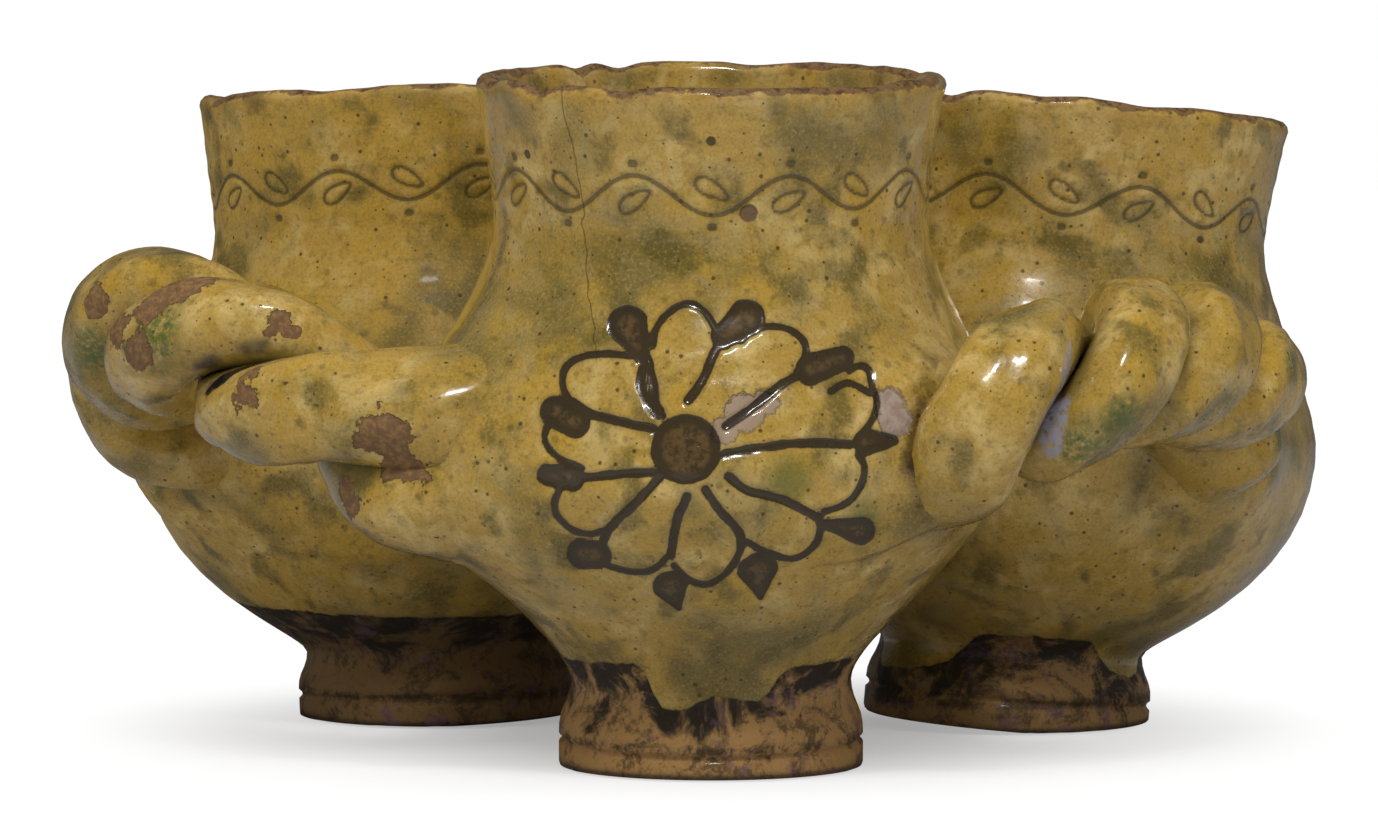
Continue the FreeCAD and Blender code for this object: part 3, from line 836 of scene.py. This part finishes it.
def front_details(graph, c, ragged):
    """The front cup's own chips, flecks and hairline crack."""
    graph.paint(graph.spots(FRONT_GREENS, 1.8, ragged) * 0.6, c.green)
    for start, end in FRONT_SMUDGES:
        graph.paint(graph.streak(start, end, 1.7, 1.0, ragged * 1.2) * 0.8, c.speck)
    pink = graph.spots(FRONT_PINKS, 0.25, ragged)
    white = graph.spots(FRONT_WHITES, 0.3, ragged)
    graph.paint(pink * 0.8, graph.mix(0.45, c.clay, c.pale_chip))
    graph.paint(white, graph.mix(graph.cloud(1.2), c.clay, c.pale_chip))
    red = graph.spot(*FRONT_RED, 0.2, ragged * 0.3)
    graph.paint(red, c.clay)
    pit = graph.spot(*FRONT_PITS[0], 0.15, ragged * 0.1)
    pit = pit.most(graph.spot(*FRONT_PITS[1], 0.15, ragged * 0.2))
    graph.paint(pit * 0.9, c.ink)
    wander = (graph.cloud(12.0, 3.0, 0.6, 0.0, 8.0) - 0.5) * 6.0
    aside = (graph.x - CRACK_FOOT[0] - wander + (graph.z - CRACK_FOOT[1]) * 0.12).sum("ABSOLUTE")
    crack = 1 - graph.step(aside, 0.03, 0.13)
    crack = crack * graph.step(graph.z, 60.0, 66.0) * (1 - graph.step(graph.y, -70.0, -66.0))
    graph.paint(crack * 0.45, c.ink)
    chips = pink.most(white)
    graph.height = graph.height - chips * 0.35 - red * 0.4 - pit * 0.5 - crack * 0.15
    graph.rough += chips * 0.3


def handle_material():
    """The ropes' finish: the glaze, worn to red clay on the crests and pooled in the creases, with painted
    shade down the creases.
    """
    graph, c = glazed("glazed_handle", -0.035, 0.05)
    fine = graph.cloud(1.0, 4.0, 0.7, 0.0, 25.0)
    ragged = (fine - 0.5) * 2.4 + (graph.cloud(4.0, 3.0, 0.6, 0.0, 65.0) - 0.5) * 8.0
    greens = graph.spots(HANDLE_GREENS, 2.2, ragged * 0.6) * graph.step(fine, 0.3, 0.6)
    graph.paint(greens * 0.85, c.green)
    deep = graph.attribute("crease")
    # Painted shade: down in the creases between the twins the glaze goes olive, and near black at the bottom.
    graph.paint(graph.step(deep + (fine - 0.5) * 0.25, 0.55, 0.95) * 0.7, c.olive)
    graph.paint(graph.step(deep, 0.86, 1.0) * 0.75, c.speck)
    # Painted shade: dark patches down in the creases between the ropes.
    crease_shades = graph.spots(HANDLE_CREASE_SHADES, 1.0, ragged * 0.4)
    graph.paint(crease_shades * graph.step(deep, 0.35, 0.75), c.ink)
    pool = graph.streak(*HANDLE_POOL, 1.9, 0.5, ragged * 0.2) * graph.step(deep, 0.1, 0.4)
    graph.paint(pool * graph.step(graph.cloud(1.4), 0.3, 0.55), c.pool)
    gap = graph.streak(*HANDLE_GAP, 1.5, 0.25, ragged * 0.3)
    chips = graph.spots(HANDLE_CHIPS, 0.18, ragged * 0.9)
    rubbed = graph.step(graph.cloud(7.0, 4.0, 0.6, 0.6, 300.0), 0.71, 0.725)
    chips = chips.most(rubbed * (1 - graph.step(deep, 0.1, 0.4)))
    earth = graph.mix(graph.step(fine, 0.4, 0.7) * 0.6, c.clay, c.foot_tan)
    graph.paint(chips, earth)
    graph.paint(gap, GAP_SHADE)
    graph.height = graph.height - chips * 0.4 - gap * 0.8
    graph.rough += chips.most(gap) * 0.45
    return graph.finish(1 - chips)


def lute_material():
    """The wads' finish: smeared clay under the same glaze."""
    graph, c = glazed("luting_clay", 0.06, 0.0)
    graph.paint(graph.step(graph.cloud(3.0, 3.0, 0.6, 0.0, 18.0), 0.45, 0.7) * 0.5, c.speck)
    return graph.finish(1.0)


def finished(name, mesh_work, material, nodes):
    """Turns the work into a piece in metres that stands for its nodes."""
    bmesh.ops.scale(mesh_work, vec=(METRES,) * 3, verts=mesh_work.verts)
    mesh = bpy.data.meshes.new(name)
    mesh_work.to_mesh(mesh)
    mesh_work.free()
    mesh.polygons.foreach_set("use_smooth", [True] * len(mesh.polygons))
    piece = bpy.data.objects.new(name, mesh)
    bpy.context.scene.collection.objects.link(piece)
    mesh.materials.append(material)
    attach(piece, "root")
    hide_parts(*nodes)
    return piece


def rope_line(handle, side, sizes):
    """The middle of one rope near its roots, every millimetre."""
    points = []
    for k in range(-4, int(handle.length) + 5):
        if k <= ROOT_LINE or k >= handle.length - ROOT_LINE:
            middle, out, _, swell = handle.frame(k, side)
            points.append(middle + out * (sizes.rope_thick / 2 * swell))
    return points


def root_tree(cup, sizes):
    """A search tree over the ropes rooted on an upright cup, and how far each point's clay is smeared."""
    points = []
    smears = []
    for handle, root in roots_on(cup):
        for side in (0, 1):
            for point in rope_line(handle, side, sizes):
                if (point - root.point).length < ROOT_REACH:
                    points.append(cup.back @ point)
                    smears.append(root.smear)
    return search_tree(points), smears


def root_pads(cup):
    """Where handles are rooted on the upright cup: the angle and the height."""
    places = [cup.back @ root.point for _, root in roots_on(cup)]
    return [(math.atan2(place.y, place.x), place.z) for place in places]


def smeared(away, smear):
    """How far each of two surfaces swells towards the other where clay is smeared over their corner."""
    return smear / 4 * max(1 - max(away, -1) / smear, 0) ** 2


def relief(cup, sizes, local, tree, smears, pads):
    """How far the wall stands out from its plain shape: throwing, hands, pads and fillets."""
    angle = math.atan2(local.y, local.x)
    radius = cup.radius(local.z)
    p = Vector((local.x * LUMP_RATE, local.y * LUMP_RATE, local.z * LUMP_RATE + cup.seed))
    rise = sizes.swelling * noise.noise(p) + 0.3 * sizes.swelling * noise.noise(p * 3.1)
    ring = math.sin(local.z * RING_RATE + 2.0 * noise.noise(p * 1.7))
    rise += sizes.ring_depth * ring * smooth(local.z, 14, 24)
    rise = min(rise, RELIEF_TOP) - RELIEF_TOP
    for pad_angle, pad_height in pads:
        turn = (angle - pad_angle + math.pi) % (2 * math.pi) - math.pi
        rise += PAD_HEIGHT * bump(math.hypot(turn * radius, local.z - pad_height), PAD_WIDTH)
    _, index, away = tree.find(local)
    return rise + smeared(away - ROPE_HEART, smears[index])


def smear_step(point):
    """How far the smeared clay stands out above its lower edge. It fades upwards and towards both sides."""
    left, right = SMEAR_EDGE[0][0], SMEAR_EDGE[-1][0]
    if not left <= point.x < right:
        return 0.0
    over = point.z - read_off(SMEAR_EDGE, point.x)
    ends = smooth(point.x, left, 20) * (1 - smooth(point.x, 40, right))
    return SMEAR_STEP * ends * smooth(over, -0.5, 0.5) * (1 - smooth(over, 2, 13))


def slip_below(cup, point):
    """How far a point is under the slip's lower edge, below zero above it."""
    side = math.atan2(point.y - cup.foot[1], point.x - cup.foot[0])
    edge = SLIP_EDGE + SLIP_WANDER * noise.noise(Vector((math.cos(side) * 2, math.sin(side) * 2, cup.seed)))
    front = 1 - smooth(point.y - cup.foot[1], -9, 1)
    return edge + (read_off(cup.slip, point.x) - edge) * front - point.z


def rim_drop(cup, angle):
    """How much the rim is worn down at an angle."""
    drop = RIM_WEAR + 0.3 * noise.noise(Vector((math.cos(angle) * 1.6, math.sin(angle) * 1.6, cup.seed)))
    drop += 0.16 * noise.noise(Vector((math.cos(angle) * 9, math.sin(angle) * 9, cup.seed)))
    for middle, depth, width in cup.notches:
        turn = (angle - math.radians(middle) + math.pi) % (2 * math.pi) - math.pi
        drop += depth * bump(turn * cup.rim, width)
    return drop


def spin(work, chain, closed, steps):
    """Turns a line of vertices once round the upright axis."""
    ends = chain + chain[:1] if closed else chain
    edges = [work.edges.new(pair) for pair in zip(ends, ends[1:])]
    bmesh.ops.spin(work, geom=chain + edges, cent=(0, 0, 0), axis=UP, dvec=(0, 0, 0),
                   angle=2 * math.pi, steps=steps, use_merge=True, use_duplicate=False)
    bmesh.ops.remove_doubles(work, verts=work.verts, dist=ONE_POINT)
    bmesh.ops.recalc_face_normals(work, faces=work.faces)


def throw(cup):
    """Spins the cup's profile round its axis, with a mark on the vertices of the outer wall."""
    work = bmesh.new()
    outer = work.verts.layers.float.new("outer")
    half = RIM_WALL / 2
    top = cup.height - half
    crown = [(cup.rim - half * (1 - math.cos(math.pi * n / 6)), top + half * math.sin(math.pi * n / 6))
             for n in range(1, 6)]
    base = even([(0, 0), (FOOT_RADIUS - FOOT_EDGE_RADIUS, 0)], FLAT_ROW)[:-1]
    chain = []
    for line, mark in ((base, 0), (cup.wall, 1), (crown + cup.inside(), 0)):
        for r, z in line:
            vert = work.verts.new((r, 0, z))
            vert[outer] = mark
            chain.append(vert)
    spin(work, chain, False, SPIN_STEPS)
    return work, outer


def refine(work, outer, wanted):
    """Divides the outer wall's faces finely where a cut runs."""
    edges = set()
    for face in work.faces:
        if all(vert[outer] > 0.5 for vert in face.verts) and wanted(face.calc_center_median()):
            edges.update(face.edges)
    bmesh.ops.subdivide_edges(work, edges=list(edges), cuts=2, use_grid_fill=True)


def press(cup, point, behind=0.0):
    """Where a neighbour's belly pushes a point that lies on this cup's wall, or so far behind it."""
    for join in JOINS:
        if cup in (join.first, join.second):
            side = 1 if cup is join.first else -1
            offset = point - join.middle
            beyond = offset.dot(join.along) * side + LUTE_GAP / 2 + behind
            if beyond > 0 and offset.length < join.flat + WALL * 3:
                point = point - join.along * (beyond * side)
    return point


def pierce(work, cup):
    """Opens the drinking passages through both faces of the wall."""
    for join in JOINS:
        if cup in (join.first, join.second):
            inside = []
            for face in work.faces:
                offset = face.calc_center_median() - join.middle
                along = offset.dot(join.along)
                if abs(along) < 3 * WALL and (offset - join.along * along).length < PASSAGE_RADIUS:
                    inside.append(face)
            bmesh.ops.delete(work, geom=inside, context="FACES")
            ends = [edge for edge in work.edges if edge.is_boundary]
            for vert in {vert for edge in ends for vert in edge.verts}:
                offset = vert.co - join.middle
                along = join.along * offset.dot(join.along)
                vert.co = join.middle + along + (offset - along).normalized() * PASSAGE_RADIUS
            bmesh.ops.bridge_loops(work, edges=ends)


def under_flower(p):
    """Whether a place on the upright front cup is divided finely for the flower."""
    return p.y < -18 and 22 < p.z < 76 and -26 < p.x < 34


def near_flower(point):
    """Whether a place on the standing pot may be cut by the flower or lies under the smeared clay's edge."""
    return point.y < -66 and 20 < point.z < 78


def make_cup(cup, material, nodes):
    """One cup, thrown, marked by hands, cut with its pattern and stood in its place."""
    sizes = bpy.context.scene.slipware_sizes
    work, outer = throw(cup)
    band_low = cup.height - BAND_DROP - sizes.band_height * BAND_REACH
    band_high = cup.height - BAND_DROP + sizes.band_height * BAND_REACH
    refine(work, outer, lambda p: band_low < p.z < band_high)
    if cup is FRONT:
        refine(work, outer, under_flower)
    ink = work.verts.layers.float.new("ink")
    rim = work.verts.layers.float.new("rim")
    slip = work.verts.layers.float.new("slip")
    tree, smears = root_tree(cup, sizes)
    pads = root_pads(cup)
    vine, vine_widths = band_tree(cup, sizes.band_height, sizes.leaf_length, sizes.band_line / 2)
    flower, flower_widths = flower_tree(sizes.line_width / 2)
    around = 2 * math.pi * cup.neck
    for vert in work.verts:
        local = vert.co.copy()
        vert[ink] = CUT_FAR
        vert[rim] = cup.height - local.z
        vert[slip] = -SLIP_FAR if local.z > FLOOR / 2 else SLIP_FAR
        angle = math.atan2(local.y, local.x)
        radius = math.hypot(local.x, local.y)
        if vert[outer] > 0.5 and local.z > FOOT_BEAD_HEIGHT + FOOT_GROOVE_WIDTH:
            wall = cup.radius(local.z)
            rise = relief(cup, sizes, local, tree, smears, pads)
            fade = smooth(local.z, cup.height - RELIEF_FADES[0], cup.height - RELIEF_FADES[1])
            rise *= smooth(local.z, *RELIEF_GROWS) * (1 - fade)
            if band_low < local.z < band_high:
                turn = (angle % (2 * math.pi)) / (2 * math.pi)
                _, index, away = vine.find((turn * around, local.z, 0))
                vert[ink] = min(away - vine_widths[index], CUT_FAR)
                rise -= sizes.line_depth * BAND_DEPTH_SHARE * (1 - smooth(vert[ink], -0.2, 0.3))
            scale = (wall + rise) / radius
            local.x *= scale
            local.y *= scale
        local.z -= rim_drop(cup, angle) * smooth(local.z, *(cup.height - low for low in WEAR_REACH))
        point = cup.place @ local
        if vert[outer] > 0.5:
            if local.z < SLIP_HIGHEST:
                vert[slip] = slip_below(cup, point)
            if cup is FRONT and near_flower(point):
                away = flower_depth(point.x - FLOWER_MIDDLE[0], point.z - FLOWER_MIDDLE[1],
                                    flower, flower_widths)
                vert[ink] = min(away, CUT_FAR)
                inwards = Vector((FRONT.centre().x - point.x, FRONT.centre().y - point.y, 0)).normalized()
                point += inwards * (sizes.line_depth * (1 - smooth(away, -0.3, 0.3)) - smear_step(point))
            point = press(cup, point)
        elif radius < cup.rim - RIM_WALL and local.z > FLOOR / 2:
            point = press(cup, point, LEAST_WALL)
        point.z = max(point.z, 0.0)
        vert.co = point
    pierce(work, cup)
    bmesh.ops.recalc_face_normals(work, faces=work.faces)
    return finished(cup.name, work, material, nodes)


def rope_section(sizes):
    """One rope's outline, cut square across: steps out from the handle's middle line, and across."""
    thick = sizes.rope_thick
    half = sizes.rope_wide / 2
    contact = sizes.rope_contact / 2
    points = [(thick / 2 + thick / 2 * math.cos(a), half * math.sin(a))
              for a in (math.radians(d) for d in range(-90, 91, 9))]
    corner = [(thick / 2 * (1 - math.sin(a)), contact + (half - contact) * math.cos(a))
              for a in (math.radians(d) for d in (22, 45, 68))]
    points += corner + [(0, contact), (0, contact / 2), (0, 0), (0, -contact / 2), (0, -contact)]
    points += [(out, -wide) for out, wide in corner[::-1]]
    return points


def make_rope(handle, side, material, node):
    """One rope: a sheet rolled round its own middle line, closed at its ends and sunk into both cups."""
    sizes = bpy.context.scene.slipware_sizes
    work = bmesh.new()
    crease = work.verts.layers.float.new("crease")
    section = rope_section(sizes)
    bmesh.ops.create_grid(work, x_segments=ROPE_ROWS, y_segments=len(section), size=1.0)
    span = handle.length + 2 * ROOT_DEPTH
    for vert in work.verts:
        along = (vert.co.x + 1) / 2
        index = round((vert.co.y + 1) / 2 * len(section)) % len(section)
        distance = -ROOT_DEPTH + span * along
        middle, out, wide, swell = handle.frame(distance, side)
        step_out, step_wide = section[index]
        roll = Vector((distance * 0.055, side * 7.0 + index * 0.02, handle.phase * 0.1))
        size = swell * (1 + 0.05 * noise.noise(roll))
        point = middle + out * (step_out * size - ROPE_TUCK) + wide * (step_wide * size)
        heart = middle + out * (sizes.rope_thick / 2)
        lumps = noise.noise(point * 0.11 + Vector((side * 9.0, 0, 0))) + 0.35 * noise.noise(point * 0.33)
        flute = 0.05 * math.sin(index * 1.25 + distance * 0.05)
        swelling = sizes.rope_unevenness * min(lumps, 0.2) + flute - ROPE_TUCK
        point += (point - heart).normalized() * swelling
        for root in handle.roots:
            rise, local = root.cup.above_wall(point)
            near = (point - root.point).length < ROOT_REACH
            if near:
                point += (point - heart).normalized() * smeared(rise, root.smear)
                rise, local = root.cup.above_wall(point)
            past_end = -distance if root is handle.roots[0] else distance - handle.length
            sink = smooth(past_end, *ROOT_SINK) if near else 0
            goal = max(rise * (1 - sink) - BURIED * sink, -BURIED)
            if goal != rise and (near or rise < 0):
                radius = math.hypot(local.x, local.y)
                local.x *= 1 + (goal - rise) / max(radius, 1.0)
                local.y *= 1 + (goal - rise) / max(radius, 1.0)
                point = root.cup.place @ local
        vert.co = point
        vert[crease] = 1 - min(step_out / (sizes.rope_thick * 0.5), 1)
    bmesh.ops.remove_doubles(work, verts=work.verts, dist=ONE_POINT / 2)
    open_edges = [edge for edge in work.edges if edge.is_boundary]
    bmesh.ops.holes_fill(work, edges=open_edges, sides=0)
    bmesh.ops.recalc_face_normals(work, faces=work.faces)
    return finished(node, work, material, (node,))


def make_lute(join, material):
    """The wad between two bellies: a waisted ring round the drinking passage."""
    work = bmesh.new()
    reach = join.first.belly - math.sqrt(join.first.belly ** 2 - join.radius ** 2) - join.pressed
    end = max(reach, 0) + LUTE_OVERLAP
    outer = [(join.radius - LUTE_WAIST + LUTE_WAIST * (t / LUTE_ROWS) ** 2, end * t / LUTE_ROWS)
             for t in range(-LUTE_ROWS, LUTE_ROWS + 1)]
    profile = [(PASSAGE_RADIUS, -end)] + outer + [(PASSAGE_RADIUS, end)]
    spin(work, [work.verts.new((r, 0, z)) for r, z in profile], True, LUTE_STEPS)
    for vert in work.verts:
        if math.hypot(vert.co.x, vert.co.y) > PASSAGE_RADIUS + 1:
            lump = LUTE_LUMP * noise.noise(vert.co * 0.16) - LUTE_TUCK
            vert.co += Vector((vert.co.x, vert.co.y, 0)).normalized() * lump
    turn = join.along.to_track_quat("Z", "Y").to_matrix().to_4x4()
    bmesh.ops.transform(work, matrix=Matrix.Translation(join.middle) @ turn, verts=work.verts)
    return finished(join.name, work, material, (join.name,))


class POTTERY_OT_cups(bpy.types.Operator):
    """Throw the three cups"""
    bl_idname = "pottery.cups"
    bl_label = "Cups"

    def execute(self, context):
        make_cup(FRONT, cup_material(FRONT, darkness=0.1),
                 ("front_cup", "right_handle_start_pad", "left_handle_end_pad"))
        make_cup(RIGHT, cup_material(RIGHT, darkness=0.35, dullness=0.06),
                 ("right_cup", "right_handle_end_pad", "back_handle_start_pad"))
        make_cup(LEFT, cup_material(LEFT, darkness=0.65, warmth=0.1, dullness=0.3),
                 ("left_cup", "back_handle_end_pad", "left_handle_start_pad"))
        return {"FINISHED"}


class POTTERY_OT_lutes(bpy.types.Operator):
    """Press the wads between the cups"""
    bl_idname = "pottery.lutes"
    bl_label = "Luting wads"

    def execute(self, context):
        material = lute_material()
        for join in JOINS:
            make_lute(join, material)
        return {"FINISHED"}


class POTTERY_OT_handles(bpy.types.Operator):
    """Twist the rope handles"""
    bl_idname = "pottery.handles"
    bl_label = "Rope handles"

    def execute(self, context):
        material = handle_material()
        for handle in HANDLES:
            for side, letter in enumerate("ab"):
                make_rope(handle, side, material, handle.name + "_rope_" + letter)
        return {"FINISHED"}


def lamp(name, place, size, power, seen_in_gloss):
    """A soft lamp, aimed at the pot."""
    light = bpy.data.lights.new(name, "AREA")
    light.shape = "RECTANGLE"
    light.size, light.size_y = size
    light.energy = power
    lit = bpy.data.objects.new(name, light)
    lit.location = place
    lit.rotation_euler = (LAMPS_AIM - Vector(place)).to_track_quat("-Z", "Y").to_euler()
    lit.visible_glossy = seen_in_gloss
    bpy.context.scene.collection.objects.link(lit)


class POTTERY_OT_stage(bpy.types.Operator):
    """Lay the floor and set the lamps and the camera"""
    bl_idname = "pottery.stage"
    bl_label = "Stage"

    def execute(self, context):
        scene = context.scene
        work = bmesh.new()
        bmesh.ops.create_grid(work, x_segments=2, y_segments=2, size=FLOOR_REACH)
        bmesh.ops.translate(work, vec=(0, 0, -FLOOR_DROP), verts=work.verts)
        mesh = bpy.data.meshes.new("floor")
        work.to_mesh(mesh)
        work.free()
        floor = bpy.data.objects.new("floor", mesh)
        scene.collection.objects.link(floor)
        mesh.materials.append(floor_material())
        white_world(scene)
        for settings in LAMPS:
            lamp(*settings)
        view = bpy.data.cameras.new("camera")
        view.sensor_width = CAMERA_SENSOR
        view.lens = CAMERA_LENS
        view.clip_start = 0.05
        camera = bpy.data.objects.new("camera", view)
        camera.location = Vector(CAMERA_PLACE) * METRES
        camera.rotation_euler = (math.radians(90 - CAMERA_PITCH), 0, 0)
        scene.collection.objects.link(camera)
        scene.camera = camera
        scene.view_settings.view_transform = "Standard"
        return {"FINISHED"}


def floor_material():
    """A pale table top: white to the lens, with the pot's soft shadow, and fading to plain white far away."""
    graph = Graph(bpy.data.materials.new("floor")).measure()
    gloss = graph.node("ShaderNodeLightPath", {}, {}, "Is Glossy Ray")
    matt = graph.node("ShaderNodeBsdfDiffuse", {}, {"Color": 0.6 - gloss * 0.35})
    white = graph.node("ShaderNodeBsdfDiffuse", {}, {"Color": (0.92, 0.92, 0.92)})
    glow = graph.node("ShaderNodeEmission", {}, {"Color": (1, 1, 1), "Strength": 1.04})
    far = graph.vector("LENGTH", {0: graph.place}, "Value")
    fade = graph.step(far, FADE_NEAR, FADE_FAR) * 0.7 + 0.3
    lens = graph.node("ShaderNodeMixShader", {}, {0: fade, 1: white, 2: glow})
    seen = graph.node("ShaderNodeLightPath", {}, {}, "Is Camera Ray")
    surface = graph.node("ShaderNodeMixShader", {}, {0: seen, 1: matt, 2: lens})
    return graph.output("ShaderNodeOutputMaterial", surface)


def white_world(scene):
    """A soft surround that the lens sees as white and the gloss sees as dim."""
    world = bpy.data.worlds.new("surround")
    graph = Graph(world)
    seen = graph.node("ShaderNodeLightPath", {}, {}, "Is Camera Ray")
    gloss = graph.node("ShaderNodeLightPath", {}, {}, "Is Glossy Ray")
    surface = graph.node("ShaderNodeBackground", {},
                         {"Color": (1, 1, 1), "Strength": seen * 0.7 - gloss * 0.22 + 0.3})
    graph.output("ShaderNodeOutputWorld", surface)
    scene.world = world


class POTTERY_PT_panel(bpy.types.Panel):
    """Lists the pieces"""
    bl_label = "Slipware puzzle cups"
    bl_idname = "POTTERY_PT_panel"
    bl_space_type = "VIEW_3D"
    bl_region_type = "UI"
    bl_category = "Pottery"

    def draw(self, context):
        for operator in OPERATORS:
            self.layout.operator(operator.bl_idname)


OPERATORS = (POTTERY_OT_cups, POTTERY_OT_lutes, POTTERY_OT_handles, POTTERY_OT_stage)
CLASSES = (SlipwareSizes, SlipwareColours) + OPERATORS + (POTTERY_PT_panel,)


def register():
    for cls in CLASSES:
        bpy.utils.register_class(cls)
    bpy.types.Scene.slipware_sizes = PointerProperty(type=SlipwareSizes)
    bpy.types.Scene.slipware_colours = PointerProperty(type=SlipwareColours)


def unregister():
    del bpy.types.Scene.slipware_colours
    del bpy.types.Scene.slipware_sizes
    for cls in reversed(CLASSES):
        bpy.utils.unregister_class(cls)


def main():
    register()
    bpy.ops.pottery.stage()
    bpy.ops.pottery.cups()
    bpy.ops.pottery.lutes()
    bpy.ops.pottery.handles()


if __name__ == "__main__":
    main()
